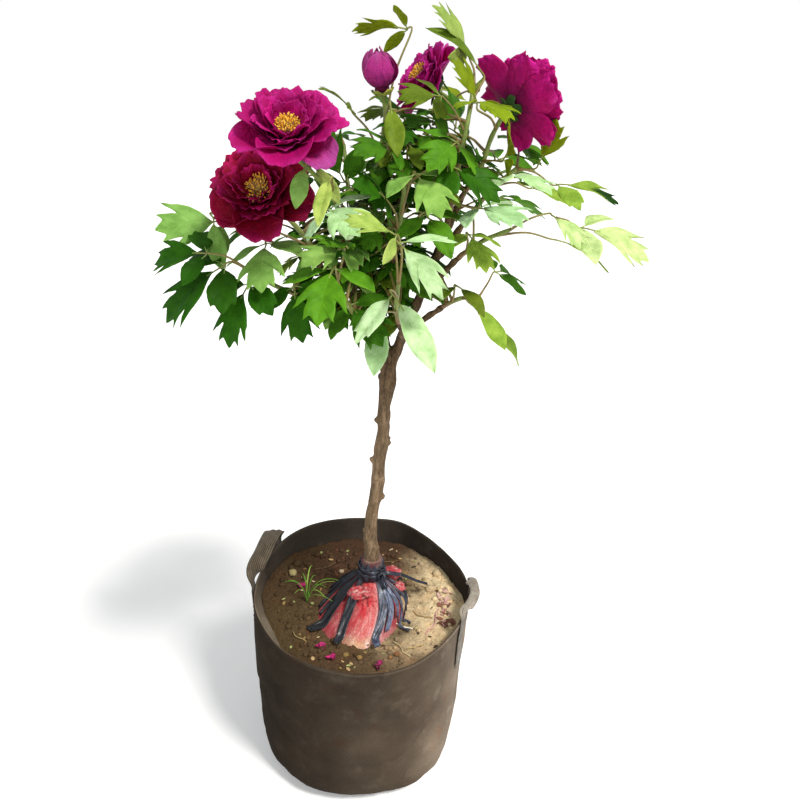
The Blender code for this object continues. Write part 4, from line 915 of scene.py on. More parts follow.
def root_ball():
    pile, angle = Pile(), circle(BALL_STEPS)[None, :]
    level = np.array([*np.linspace(BALL_FLOOR, 0.300, 6), *np.linspace(0.301, NECK_TOP, 80)])[:, None]
    ring = polar(1, angle, (level - 0.3) / BALL_RADIUS)
    skin = (ball_axis(level) + polar(net_radius(angle, level, ring), angle, level)).reshape(-1, 3)
    points = [*skin, (*BALL_MIDDLE[:2], BALL_FLOOR), (*FOOT_AT[:2], NECK_TOP)]
    faces = grid(len(level), BALL_STEPS, closed=True) + fan(0, BALL_STEPS, len(skin), down=True)
    faces += fan(len(skin) - BALL_STEPS, BALL_STEPS, len(skin) + 1)
    uv = stacked(angle / (2 * math.pi), (level - BALL_FLOOR) / 0.17).reshape(-1, 2)
    tint = np.array([*net_tint(angle, level, ring).reshape(-1, 3), *[srgb("#dcb088")] * 2])
    pile.add(points, faces, [*uv, (0, 0), (0, 0)], tint)
    for spec in BUNCHES:
        bunch(pile, *spec)
    pile.piece("root_ball_net", ["net"], "net", "root_ball")


# The flat turns of tape round the neck: height over the tie's foot, how far out, lean and width
TAPE_TURNS = ((0.005, 0.0046, 0.12, 0.011), (0.012, 0.0054, -0.10, 0.010), (0.019, 0.0044, 0.15, 0.010))


def tape_turn(pile, turn, up, out, lean, wide):
    angle, v = circle(72)[:, None], circle(14)[None, :]
    thick = 0.0016 + 0.0006 * np.sin(angle * 5 + turn)
    radius = NECK_RADIUS + out - 0.0012 + thick * np.cos(v) + 0.0007 * np.sin(angle * 9 + turn * 2)
    height = TIE_LOW + up + wide / 2 * np.sin(v) + lean * radius * np.cos(angle + turn * 1.7)
    faces = [tuple(reversed(face)) for face in grid(72, 14, closed=True, ring=True)]
    pile.add(FOOT_AT + polar(radius, angle, height), faces, stacked(angle / 6.283, v / 6.283))


def collar(pile):
    """The gathered cloth stands as a ruffled collar above the band and hides the ball's neck."""
    angle, part = circle(160)[None, :], np.linspace(0, 1, 12)[:, None]
    ruffle = np.sin(angle * 13 + 1.5 * np.sin(2 * angle))
    outer = NECK_RADIUS + 0.0025 - 0.0035 * part + (0.0012 + 0.0016 * part) * ruffle
    height = TIE_HIGH - 0.014 + (0.009 + 0.0030 * np.sin(3 * angle + 0.5)) * part
    skin, back = (FOOT_AT + polar(radius, angle, height) for radius in (outer, outer - 0.0022))
    uv = stacked(angle / 6.283, np.linspace(0, 1, 24)[:, None])
    pile.add([*skin, *back[::-1]], grid(24, 160, closed=True, ring=True), uv, (0.9, 0.9, 0.95))


# Heading, width and lift of each loose strip of tape over the ball, how far down it runs, 0 to 1 and beyond
# over the soil, and how far it turns on its way
STRIPS = (
    (168, 0.012, 0.004, 0.80, 0), (184, 0.014, 0.004, 1.0, 0), (201, 0.012, 0.005, 1.0, 0),
    (208, 0.022, 0.006, 1.25, 6), (226, 0.017, 0.004, 1.15, 22), (236, 0.006, 0.004, 0.50, 0),
    (306, 0.017, 0.003, 1.15, -16), (313, 0.013, 0.005, 0.95, -6), (322, 0.008, 0.007, 0.80, 0),
    (331, 0.006, 0.008, 1.18, 0), (341, 0.006, 0.010, 1.12, 0), (352, 0.008, 0.008, 0.9, 0),
    (14, 0.010, 0.010, 0.45, 0), (32, 0.012, 0.003, 1.0, 0), (50, 0.009, 0.004, 0.8, 0),
    (72, 0.014, 0.002, 1.0, 0), (97, 0.011, 0.004, 0.85, 0), (124, 0.014, 0.002, 1.0, 0),
    (149, 0.012, 0.004, 0.9, 0),
)
STRIP_FALL = 0.064


def strip(pile, draw, heading, width, lift, reach, turn):
    aside = math.radians(heading + turn)
    across = np.array((-math.sin(aside), math.cos(aside), 0))
    stops = [(TIE_LOW + 0.010, NECK_RADIUS + 0.0035), (TIE_LOW + 0.001, NECK_RADIUS + 0.0050)]
    for part in np.linspace(0.12, min(reach, 1.0), 9):
        z, bulge = NECK_FOOT - STRIP_FALL * part, lift * math.sin(math.pi * part)
        stops.append((z + 0.0015 + bulge * 0.6, ball_radius(z) + 0.0028 + bulge))
    # A long strip ends on the soil
    if reach > 1.0:
        stops += [(0.3115, 0.0810 + 0.11 * more) for more in np.linspace(0.0, reach - 1.0, 4)[1:]]
    wander, route = draw.uniform(-0.004, 0.004), []
    for i, (z, radius) in enumerate(stops):
        angle = math.radians(heading + turn * min(1.0, max(0.0, (NECK_FOOT - z) / STRIP_FALL)))
        route.append(ball_axis(z) + polar(radius, angle, z) + across * wander * math.sin(i * 0.45))
    route = smooth_route(route, 3)
    rows, parts, v = [], np.linspace(0, 1, len(route)), np.linspace(-1, 1, 8)
    for i, (here, part) in enumerate(zip(route, parts)):
        ahead = np.array(route[min(i + 1, len(route) - 1)] - route[max(i - 1, 0)])
        normal = unit(np.cross(unit(ahead), across))
        half = 0.5 * width * (0.42 + 0.58 * blend(part, 0.08, 0.4)) * (1 - 0.35 * part**3)
        curl = (0.0016 * v**2 + 0.0007 * np.sin(v * 5 + i * 0.4 + heading)) * (0.4 + part)
        rows.append(np.array(here) + across * (half * v)[:, None] + normal * curl[:, None])
    # Painted shade on the strips at the left and back, and painted sunlight on those in front at the right
    shade = draw.uniform(0.6, 1.0) * (1 - 0.6 * near(angle, 215, 60)) + 4.6 * near(angle, -48, 24)
    pile.blade(np.array(rows), stacked(parts[:, None], v * 0.5 + 0.5), (shade, shade, shade * 1.03), 0.0006)


def loose_end(pile):
    route, v = smooth_route(LOOSE_TAPE, 6), np.linspace(-1, 1, 7)
    parts = np.linspace(0, 1, len(route))[:, None]
    side, up = np.array((-0.30, 0.80, 0.50)), np.array((0, 0, 0.0012))
    across = side * (0.0042 * (1 - 0.4 * parts) * v)[..., None] + up * (v**2)[:, None]
    pile.blade(np.array(route)[:, None] + across, stacked(parts, v * 0.5 + 0.5), (1.0, 1.0, 1.1), 0.0006)


def knot(pile):
    """The knot at the front right, and its two short tails."""
    at = Vector((0.032, -0.020, TIE_MIDDLE - 0.004))
    for k in range(3):
        t = np.linspace(0, 2 * math.pi, 9)
        depth = -0.003 + 0.0025 * np.sin(t * 2 + k)
        loop = stacked(0.006 * np.cos(t + k), depth, 0.007 * np.sin(t + k * 0.8))
        pile.tube(smooth_route(loop + np.array(at), 3), 0.0022, 7, (1.1, 1.1, 1.2))
    for dx, dz in ((0.004, -0.022), (0.010, -0.018)):
        tail = [at, at + Vector((dx * 0.6, -0.006, dz * 0.4)), at + Vector((dx, -0.009, dz))]
        pile.tube(smooth_route(tail, 5), 0.0020, 6, (1.0, 1.0, 1.1))


# One loose end reaches out over the soil at the right
LOOSE_TAPE = ((0.030, -0.006, 0.386), (0.046, -0.006, 0.386), (0.070, 0.008, 0.372), (0.094, 0.020, 0.353),
              (0.118, 0.030, 0.338))


def tie_and_strips():
    pile, draw = Pile(), random.Random(55)
    for turn, spec in enumerate(TAPE_TURNS):
        tape_turn(pile, turn, *spec)
    collar(pile)
    for spec in STRIPS:
        strip(pile, draw, *spec)
    loose_end(pile)
    knot(pile)
    pile.piece("tie_and_loose_tape", ["tape"], "black_strip", "tie_and_strips")


# Wood, shoots and leaves stand where the CAD model has them, and the gap parts one solid there from the next
TRUNK_FOOT = Vector((0.012, 0.0, 0.352))
GAP = 0.0003

# The routes and leaves below are places as x, y and z in millimetres
TRUNK = (
    (12, 0, 418), (7.5, 0, 458), (8, 0, 500), (15, 0, 562), (16, 0, 613), (21, 0, 668), (20, 0, 715),
    (24, 0, 755), (23, 0, 790),
)
TRUNK_RADII = (0.0130, 0.0130, 0.0118, 0.0110, 0.0106, 0.0112, 0.0100, 0.0104, 0.0128, 0.0110)

# Each limb's radius at its start, and its route from inside the trunk
LIMBS = (
    (0.0100, ((23, 0, 770), (5, -5, 822), (-22, -10, 857), (-48, -20, 888))),
    (0.0095, ((23, 0, 775), (12, 12, 840), (-4, 20, 900), (-12, 22, 955))),
    (0.0095, ((23, 0, 775), (45, 5, 840), (66, 5, 900), (82, 2, 955))),
)
SHOOT_RADIUS, STALK_RADIUS = 0.0036, 0.0013


def metres(place):
    return Vector([value / 1000 for value in place])


# Blooms: middle of the base, axis, petal length, seed
Bloom = namedtuple("Bloom", "base axis reach seed")
BLOOMS = {
    "bloom_upper_left": Bloom((-0.104, -0.160, 1.118), (0.05, -0.54, 0.84), 0.065, 3),
    "bloom_lower_left": Bloom((-0.150, -0.078, 1.042), (-0.12, -0.76, 0.60), 0.070, 5),
    "bloom_top": Bloom((0.069, 0.100, 1.188), (-0.78, -0.24, 0.54), 0.056, 7),
    "bloom_right": Bloom((0.168, -0.014, 1.168), (0.62, 0.62, 0.30), 0.070, 11),
}
BUD_BASE, BUD_AXIS = (-0.003, -0.020, 1.181), (-0.18, -0.12, 1.0)

# How high the core that carries petals and stamens stands over a bloom's base
CORE_TOP = 0.020

# Shoots: the first points are the woody limb that bears each one, the others its green route to the tip, or
# to the base of the bloom that it is named after
WOODY = 3
SHOOTS = {
    "shoot_bloom_lower_left": (
        (-40, -17, 878), (-62, -40, 915), (-76, -50, 945), (-98, -50, 985), (-128, -54, 1018)),
    "shoot_bloom_upper_left": (
        (-22, -10, 857), (-34, -22, 905), (-46, -38, 955),
        (-50, -60, 1005), (-56, -102, 1052), (-82, -142, 1090)),
    "shoot_left_low": (
        (-40, -17, 878), (-80, -40, 892), (-108, -60, 908), (-135, -82, 925), (-160, -102, 945)),
    "shoot_left_back": (
        (-45, -20, 885), (-75, 5, 915), (-98, 30, 945), (-118, 55, 985), (-135, 80, 1030)),
    "shoot_bud": (
        (-12, 22, 950), (-12, 18, 1000), (-8, 10, 1045), (-3, -4, 1100), (2, -15, 1150)),
    "shoot_bloom_top": (
        (-12, 22, 950), (10, 46, 1000), (30, 66, 1045), (56, 88, 1095), (84, 106, 1140), (92, 110, 1170)),
    "shoot_back_left": (
        (-8, 21, 925), (-30, 50, 965), (-46, 78, 1005), (-58, 104, 1050), (-66, 124, 1100)),
    "shoot_back_low": (
        (6, 15, 862), (10, 60, 900), (16, 96, 940), (22, 130, 980), (28, 150, 1030)),
    "shoot_front_left": (
        (0, -6, 830), (-12, -44, 860), (-22, -80, 886), (-34, -112, 915), (-46, -138, 948)),
    "shoot_bloom_right": (
        (80, 2, 950), (98, 2, 1000), (114, 2, 1046), (138, 2, 1090), (148, -1, 1130)),
    "shoot_top": (
        (81, 2, 945), (92, -22, 990), (98, -38, 1035), (104, -44, 1095), (112, -30, 1150), (118, 0, 1195)),
    "shoot_right_low": (
        (43, 5, 835), (72, -14, 868), (100, -28, 895), (126, -36, 912), (148, -40, 912)),
    "shoot_right_middle": (
        (66, 5, 900), (94, -18, 940), (118, -34, 972), (148, -50, 1000), (180, -60, 1018)),
    "shoot_right_upper": (
        (80, 2, 948), (108, 24, 985), (132, 30, 1020), (160, 26, 1060), (190, 12, 1092)),
    "shoot_right_back": (
        (64, 5, 895), (84, 46, 935), (100, 80, 975), (118, 108, 1015), (134, 128, 1060)),
    "shoot_front_right": (
        (40, 4, 826), (42, -40, 856), (36, -80, 884), (32, -112, 918), (34, -136, 955)),
    "shoot_middle": (
        (0, 18, 885), (14, -14, 925), (22, -40, 965), (30, -62, 1015), (34, -72, 1070)),
}

# Leaves: where along the shoot the stalk starts (None: at the leaf before), joint, tip, leaflets, tone, and
# for some how far they turn to the front, their breadth, an end leaflet without lobes, and a dark tip
Leaf = namedtuple("Leaf", "start joint tip leaflets tone roll broad plain dark_tip",
                  defaults=(None, None, None, False, False))
LEAVES = {
    "shoot_bloom_lower_left": (
        Leaf(0.30, (-230, -45, 1002), (-300, -80, 992), "left", "pale", 0.85, 1.1),
        Leaf(0.05, (-148, -98, 980), (-142, -155, 935), "three", "pale", 0.6, 1.1),
        Leaf(0.60, (-170, 0, 1030), (-225, 35, 1020), "three", "mid"),
    ),
    "shoot_bloom_upper_left": (
        Leaf(0.55, (-50, -215, 1085), (-55, -265, 1045), "one", "lime", 0.3, 0.62, plain=True),
        Leaf(0.30, (-55, -130, 1040), (-15, -180, 1020), "three", "mint"),
        Leaf(0.20, (-60, 10, 1070), (-85, 40, 1125), "three", "mid"),
        Leaf(0.12, (-38, -130, 1000), (-72, -180, 1012), "right", "bright"),
    ),
    "shoot_left_low": (
        Leaf(0.55, (-213, -120, 950), (-269, -150, 879), "three", "dark"),
        Leaf(1.00, (-172, -125, 925), (-188, -150, 855), "three", "dark"),
        Leaf(0.10, (-105, -115, 925), (-90, -140, 865), "three", "dark"),
    ),
    "shoot_bud": (
        Leaf(0.70, (12, -80, 1160), (24, -120, 1108), "one", "olive", 0.5, 0.8, plain=True),
        Leaf(0.40, (-48, -20, 1160), (-86, -36, 1180), "left", "olive"),
        Leaf(0.60, (12, 30, 1260), (-48, 12, 1250), "three", "yellow", broad=0.62),
    ),
    "shoot_bloom_top": (
        Leaf(0.70, (80, 170, 1190), (75, 230, 1185), "three", "yellow"),
        Leaf(0.30, (20, 140, 1150), (-15, 190, 1165), "three", "mid"),
        Leaf(0.85, (135, 110, 1200), (190, 130, 1215), "three", "yellow"),
        Leaf(0.60, (60, 30, 1150), (30, -10, 1135), "three", "mid"),
    ),
    "shoot_front_left": (
        Leaf(0.85, (-48, -200, 977), (-56, -262, 930), "three", "bright"),
        Leaf(0.45, (-20, -170, 925), (20, -205, 890), "three", "mid"),
        Leaf(1.00, (-45, -165, 1000), (-90, -205, 990), "three", "pale"),
    ),
    "shoot_bloom_right": (
        Leaf(0.80, (118, -52, 1180), (82, -68, 1222), "one", "yellow"),
        Leaf(0.45, (165, -55, 1115), (158, -95, 1150), "left", "yellow"),
        Leaf(0.55, (180, 75, 1100), (230, 120, 1090), "three", "bright"),
        Leaf(0.30, (140, 60, 1090), (120, 110, 1120), "three", "mid"),
    ),
    "shoot_top": (
        Leaf(1.00, (103, 15, 1242), (55, 0, 1285), "left", "lime", 0.5, 0.9),
        Leaf(0.80, (125, -75, 1175), (160, -118, 1152), "three", "yellow"),
        Leaf(0.60, (66, -30, 1180), (18, -50, 1172), "three", "olive"),
        Leaf(0.35, (92, -95, 1125), (60, -140, 1095), "three", "bright"),
        Leaf(0.50, (100, 30, 1150), (85, 80, 1190), "three", "mid"),
    ),
    "shoot_right_low": (
        Leaf(1.00, (172, -40, 878), (221, -45, 815), "one", "fresh", 0.3, 0.6, plain=True),
        Leaf(0.60, (148, -72, 905), (180, -85, 845), "one", "fresh", 0.4, 0.95, plain=True),
        Leaf(0.30, (120, -90, 940), (150, -135, 915), "right", "olive", 0.3, 0.8, plain=True),
    ),
    "shoot_right_middle": (
        Leaf(1.00, (238, -75, 1040), (266, -118, 1008), "one", "bleached", 0.5, 0.8),
        Leaf(None, (292, -70, 1026), (368, -85, 990), "three", "bleached"),
        Leaf(0.75, (262, -40, 1002), (328, -50, 965), "one", "fresh", 0.2, 0.45, plain=True),
        Leaf(0.30, (138, -100, 1050), (185, -145, 1035), "three", "mint"),
        Leaf(0.15, (128, -85, 1008), (148, -125, 972), "three", "fresh"),
    ),
    "shoot_right_upper": (
        Leaf(1.00, (263, 0, 1075), (338, 0, 1052), "right", "fresh", 0.3, 0.75, dark_tip=True),
        Leaf(0.90, (225, 20, 1108), (222, -20, 1155), "one", "yellow"),
        Leaf(0.50, (180, -45, 1085), (225, -90, 1070), "three", "mint"),
        Leaf(0.60, (235, 70, 1060), (290, 105, 1035), "three", "fresh"),
    ),
    "shoot_front_right": (
        Leaf(0.70, (38, -200, 944), (85, -246, 875), "right", "mint", 0.3, 0.72, plain=True),
        Leaf(0.90, (40, -195, 1012), (88, -250, 968), "left", "mint", 0.3, 0.62),
        Leaf(0.30, (12, -165, 905), (10, -205, 850), "one", "mint", 0.6, 0.95, plain=True),
        Leaf(1.00, (20, -185, 1030), (-35, -215, 1045), "left", "lime", 0.3, 0.62),
    ),
    "shoot_middle": (
        Leaf(0.60, (53, -120, 1085), (82, -168, 1045), "three", "pale"),
        Leaf(0.20, (69, -115, 1035), (98, -160, 995), "three", "bright", 0.5, 0.95, plain=True),
        Leaf(1.00, (8, -100, 1120), (-30, -140, 1108), "three", "mid"),
        Leaf(0.40, (5, -110, 1062), (-30, -150, 1075), "three", "deep"),
    ),
}

# Smaller leaves round the blooms at the left, which only this scene has
BLOOM_LEAVES = {
    "shoot_bloom_upper_left": (
        Leaf(0.86, (-86, -157, 1092), (-95, -165, 1046), "one", "pale", 0.8, 1.0, plain=True),
        Leaf(0.84, (-76, -120, 1090), (-44, -130, 1048), "one", "lime", 0.5, 0.7, plain=True),
        Leaf(0.55, (-30, -120, 1027), (-64, -135, 1037), "left", "mint", 0.5, 0.8),
    ),
    "shoot_middle": (
        Leaf(0.30, (-10, -70, 972), (-36, -80, 950), "one", "dry", 0.4, 0.9, plain=True),
    ),
    "shoot_bloom_lower_left": (
        Leaf(0.04, (-220, -78, 1004), (-204, -104, 948), "one", "pale", 0.8, 0.9, plain=True),
    ),
    "shoot_top": (
        Leaf(0.85, (117, 0, 1222), (48, -10, 1259), "one", "olive", 0.4, 0.75, plain=True),
    ),
}

# Shoots at the back carry leaves by rule, fanned to both sides: how many, and the fan's heading in degrees
RULED_LEAVES = {
    "shoot_left_back": (4, 151), "shoot_back_left": (4, 122), "shoot_back_low": (4, 84),
    "shoot_right_back": (4, 46), "shoot_left_low": (1, 120), "shoot_right_low": (1, -10),
    "shoot_bud": (1, 80), "shoot_middle": (1, 260), "shoot_right_upper": (1, 10),
}
RULED_STALK, RULED_LEAFLET, RULED_RISE, RULED_FAN = 0.075, 0.068, 0.028, math.radians(70)

# The colours of leaves: the leaves' own greens, with painted sunlight and sheen in the mint, bright, pale,
# yellow and palest white-green tones, and painted shade in the dark and deep ones
LEAF_TONES = {
    "mint": "#a8cc94", "bright": "#487a14", "dark": "#235204", "yellow": "#70840e", "olive": "#5a701a",
    "mid": "#3a680e", "deep": "#285606", "pale": "#749e48", "dry": "#7a5636", "lime": "#8fa450",
    "bleached": "#b4cc84", "fresh": "#84a238",
}

# Leaves that name no tone draw one of these
REAR_TONES = ("mid", "deep", "mid", "bright", "dark")


def woody(name):
    return [metres(place) for place in SHOOTS[name][:WOODY]]


def green(name):
    return [metres(place) for place in SHOOTS[name][WOODY:]]


def even(route, step=0.004):
    """The route's points again, at about equal steps."""
    length = sum((b - a).length for a, b in zip(route, route[1:]))
    count = max(4, int(length / step) + 1)
    return [along(route, i / (count - 1)) for i in range(count)]


# The swelling at each old ring of scars, how far it reaches along the trunk, and the rings' heights
KNOB, KNOB_REACH = 0.0011, 0.010
KNOB_LEVELS = (0.425, 0.505, 0.575, 0.640, 0.700, 0.760)

# Height, heading and size of each old leaf scar or bud that stands out of the trunk
KNOBS = (
    (0.690, 195, 0.0050), (0.615, 178, 0.0055), (0.650, -15, 0.0050), (0.655, 20, 0.0040),
    (0.545, -5, 0.0052), (0.440, -25, 0.0050), (0.475, 200, 0.0040), (0.755, -60, 0.0060),
    (0.765, 170, 0.0060), (0.585, -100, 0.0042), (0.720, -80, 0.0045), (0.500, 90, 0.0050),
)
SKIN_VOXEL = 0.0021


def trunk(pile, draw):
    knots = [TRUNK_FOOT + Vector((0, 0, GAP)), *(metres(place) for place in TRUNK)]
    heights = [knot.z for knot in knots]
    route, radii = even(smooth_route(knots, 8)), []
    for point in route:
        from_knob = min(abs(level - point.z) for level in KNOB_LEVELS)
        radius = float(np.interp(point.z, heights, TRUNK_RADII)) * (1 + 0.05 * math.sin(point.z * 60))
        radii.append(radius + KNOB * math.exp(-(from_knob / KNOB_REACH) ** 2))
    pile.tube(route, radii, 20)
    for z, heading, size in KNOBS:
        out = Vector(polar(1, math.radians(heading)))
        spot = along(route, (z - heights[0]) / (heights[-1] - heights[0])) + out * (0.0105 + size * 0.15)
        lump(pile, spot, size, (1, 1, 1), draw, 1.1)
        lump(pile, spot + (out + Vector((0, 0, 0.4))) * size * 0.6, size * 0.55, (1, 1, 1), draw, 1.0)


def bough(pile, points, start, change, swelling, pace, sides):
    """A limb, whose radius changes from the start to the end and swells a little on the way."""
    path = even(smooth_route(points, 8))
    last = len(path) - 1
    radii = [start + change * i / last + swelling * math.sin(i * pace) for i in range(last + 1)]
    pile.tube(path, radii, sides)


def one_skin(pile):
    """The pile's tubes joined to one smooth skin: its points, normals and faces."""
    tubes = linked("wood", pile.mesh("wood"))
    join = tubes.modifiers.new("Join", "REMESH")
    join.mode, join.voxel_size = "VOXEL", SKIN_VOXEL
    solid = bpy.data.meshes.new_from_object(tubes.evaluated_get(bpy.context.evaluated_depsgraph_get()))
    bpy.data.objects.remove(tubes)
    shaped = bmesh.new()
    shaped.from_mesh(solid)
    for _ in range(2):
        axes = {"use_axis_" + axis: True for axis in "xyz"}
        bmesh.ops.smooth_vert(shaped, verts=shaped.verts, factor=0.5, **axes)
    shaped.normal_update()
    points, normals = (np.array([getattr(v, part) for v in shaped.verts]) for part in ("co", "normal"))
    faces = [tuple(v.index for v in f.verts) for f in shaped.faces]
    shaped.free()
    return points, normals, faces


def wood():
    pile, draw = Pile(), random.Random(61)
    trunk(pile, draw)
    for radius, route in LIMBS:
        bough(pile, [metres(place) for place in route], radius, 0.0062 - radius, 0.0006, 0.9, 14)
    for name in SHOOTS:
        bough(pile, woody(name), 0.0060, -0.0012, 0.0005, 1.3, 12)
    points, normals, faces = one_skin(pile)
    ridges = rough(points * (1, 1, 0.30), 95.0, 3, seed=21.0)
    points = points + normals * (0.0009 * ridges + 0.0006 * rough(points, 60.0, 2, seed=22.0))[:, None]
    height = points[:, 2]
    # Dark above the fork, and greenish where the limbs meet the shoots
    tint = mix((1.0, 1.0, 1.0), (0.52, 0.47, 0.42), blend(height + 0.02 * ridges, 0.66, 0.78)[:, None])
    tint = mix(tint, (0.62, 0.62, 0.36), (0.7 * blend(height, 0.86, 0.99))[:, None])
    made = Pile()
    made.add(points, faces, points[:, :2], tint)
    made.piece("trunk_and_limbs_bark", ["bark"], "bark", "trunk_and_limbs")


# A leaf's droop, where its stalk ends, and a side leaflet's corner in the CAD model: where its vein leaves
# the rib, how long it is, its lean in degrees and its lift, in parts of the end leaflet's length
LEAF_DROOP, STALK_END = math.radians(34), -0.29
SIDE_CORNER = (-0.20, 0.84, 62, -0.16)

# How the CAD model turned and tilted a leaf, in degrees, or bowed its stalk, to keep clear of others; a leaf
# that fits none of them was left out there
TURNS = ((0, 0), (10, 0), (-10, 0), (0, 12), (0, -12), (20, 0), (-20, 0), (14, 14), (-14, 14), (14, -14),
         (-14, -14), (32, 0), (-32, 0), (0, 26), (0, -26), (26, 20), (-26, 20), (26, -20), (-26, -20))
BOWS = (0.10, 0.22, -0.06)
SAME_POINT = 0.0008

# Outline of the lobed end leaflet and of a side leaflet: where the vein leaves the rib, how far along the
# rib and how far out it meets the edge, in parts of the leaflet's length
END_OUTLINE = ((0.0, 0.0, 0.012), (0.03, 0.09, 0.08), (0.08, 0.20, 0.17), (0.14, 0.34, 0.27),
               (0.21, 0.52, 0.35), (0.28, 0.79, 0.41), (0.33, 0.68, 0.31), (0.38, 0.56, 0.21),
               (0.47, 0.71, 0.23), (0.58, 0.92, 0.23), (0.66, 0.83, 0.145), (0.75, 0.87, 0.10),
               (0.86, 0.94, 0.05), (1.0, 1.0, 0.0))
SIDE_OUTLINE = ((0.0, 0.0, 0.01), (0.04, 0.10, 0.12), (0.11, 0.25, 0.22), (0.20, 0.42, 0.27),
                (0.30, 0.56, 0.27), (0.42, 0.70, 0.25), (0.54, 0.82, 0.22), (0.62, 0.79, 0.14),
                (0.76, 0.89, 0.09), (1.0, 1.0, 0.0))
PLAIN_OUTLINE = ((0.0, 0.0, 0.01), (0.05, 0.10, 0.11), (0.14, 0.26, 0.20), (0.26, 0.44, 0.245),
                 (0.40, 0.60, 0.235), (0.56, 0.75, 0.18), (0.72, 0.87, 0.105), (0.88, 0.955, 0.04),
                 (1.0, 1.0, 0.0))

# The stations that stay sharp: the lobes' tips
END_SHARP, SIDE_SHARP = (5, 9), (6,)


def outlined(table, sharp, fine=3):
    """The outline's stations again, with more between them, smooth but for the lobe tips."""
    table = np.array(table)
    place = np.arange(len(table))
    want = np.linspace(0, len(table) - 1, (len(table) - 1) * fine + 1)
    straight = np.stack([np.interp(want, place, table[:, i]) for i in range(3)], axis=-1)
    soft = straight.copy()
    soft[1:-1] = 0.5 * straight[1:-1] + 0.25 * (straight[:-2] + straight[2:])
    keep = np.isclose(want % 1, 0) & np.isin(np.round(want), sharp)
    soft[keep] = straight[keep]
    return soft


END_STATIONS = outlined(END_OUTLINE, END_SHARP)
SIDE_STATIONS = outlined(SIDE_OUTLINE, SIDE_SHARP)
END_FEW, SIDE_FEW = outlined(END_OUTLINE, END_SHARP, 2), outlined(SIDE_OUTLINE, SIDE_SHARP, 2)
PLAIN_STATIONS, PLAIN_FEW = outlined(PLAIN_OUTLINE, ()), outlined(PLAIN_OUTLINE, (), 2)

# The dense middle of the crown, as ellipsoids: middle and half sizes; the low one is picked twice as often
LOW_CROWN = ((-0.02, 0.0, 0.955), (0.105, 0.09, 0.105))
CROWN = (LOW_CROWN, LOW_CROWN, ((0.05, 0.01, 1.10), (0.075, 0.08, 0.075)),
         ((0.10, 0.02, 1.10), (0.06, 0.06, 0.045)))
INNER_LEAVES, INNER_SPACING, INNER_TRIES = 185, 0.0235, 14000


def square_to(vector, axis):
    """The part of a vector that is square to an axis, as a unit."""
    return (vector - axis * vector.dot(axis)).normalized()


def leaf_normal(joint, tip):
    away = Vector((joint.x - TRUNK_FOOT.x, joint.y - TRUNK_FOOT.y, 0.0))
    return square_to(Vector((0, 0, 0.8)) + away.normalized() * 0.55, (tip - joint).normalized())


class Rib:
    """The arc of a blade's rib from its joint, at 0, to its tip, at 1."""

    def __init__(self, joint, tip, normal, droop):
        chord = tip - joint
        self.length, self.joint, self.droop = chord.length, joint, droop
        self.forward = chord.normalized()
        self.side = self.forward.cross(normal).normalized()
        self.up = self.side.cross(self.forward)
        self.turn_radius = self.length / (2 * math.sin(droop / 2))

    def at(self, part):
        bend = self.droop / 2 - self.droop * part
        rib = self.joint + self.forward * self.turn_radius * (math.sin(self.droop / 2) - math.sin(bend))
        rib = rib + self.up * self.turn_radius * (math.cos(bend) - math.cos(self.droop / 2))
        ahead = self.forward * math.cos(bend) + self.up * math.sin(bend)
        above = self.up * math.cos(bend) - self.forward * math.sin(bend)
        return rib, ahead, above


def leaflet(pile, draw, rib, stations, tint, broad, columns, tip_tint=None):
    """One leaflet, folded a little along its rib, its edge waved and its face puffed between the veins."""
    fold, wave = draw.uniform(0.12, 0.42), draw.uniform(0.012, 0.036)
    phase, skew = draw.uniform(0, 6.28), draw.uniform(-0.06, 0.06)
    jag = [1 + draw.uniform(-0.03, 0.03) for _ in stations]
    across = np.linspace(-1, 1, 2 * columns + 1)
    points = []
    for i, (start, far, out) in enumerate(stations):
        foot = rib.at(float(start))[0]
        edge, ahead, above = rib.at(float(far))
        for v in across:
            reach, sign = abs(v), 1.0 if v > 0 else -1.0
            wide = out * broad * (1 + sign * skew) * (jag[i] if sign > 0 else jag[-i])
            lift = fold * out * reach - 0.55 * fold * out * reach**3
            lift += wave * reach**2 * math.sin(9.0 * far + phase + (1.3 if sign > 0 else 0))
            point = foot.lerp(edge + rib.side * (-sign * wide * rib.length), reach)
            # The vein bows forward on its way to the edge
            point = point + ahead * (-0.05 * math.sin(math.pi * reach) * out * rib.length)
            points.append(tuple(point + above * (lift * rib.length)))
    points = np.array(points).reshape(len(stations), len(across), 3)
    points[-1] = np.array(rib.at(1.0)[0]) + 0.0004 * across[:, None] * np.array(rib.side)
    change = np.random.RandomState(int(phase * 1e4)).uniform(-1, 1, 3)
    shade = np.array(tint) * (1 + 0.10 * change * (0.6, 0.3, 0.6))
    if tip_tint is not None:
        at_tip = blend(stations[:, 0], 0.30, 0.50)[:, None, None]
        shade = mix(shade, tip_tint, at_tip * np.ones((1, len(across), 1)))
    pile.blade(points, stacked(stations[:, :1] * 5.5, across), shade, 0.0004, under=1)


def side_rib(rib, sign, droop):
    """The rib of a side leaflet, from the end leaflet's stalk to the corner that the CAD leaf has there."""
    place, reach, lean, lift = SIDE_CORNER
    foot, ahead, above = rib.at(place)
    out = rib.side * sign
    vein = ahead * math.cos(math.radians(lean)) + out * math.sin(math.radians(lean))
    tip = foot + (vein * reach + above * lift) * rib.length
    joint = foot + vein * (0.10 * rib.length)
    normal = square_to((above + out * 0.25).normalized(), (tip - joint).normalized())
    return Rib(joint, tip, normal, math.radians(droop)), foot


SIDES = {"three": (-1, 1), "left": (-1,), "right": (1,), "one": ()}
FRONT = Vector((0.0, -0.9, 0.45))


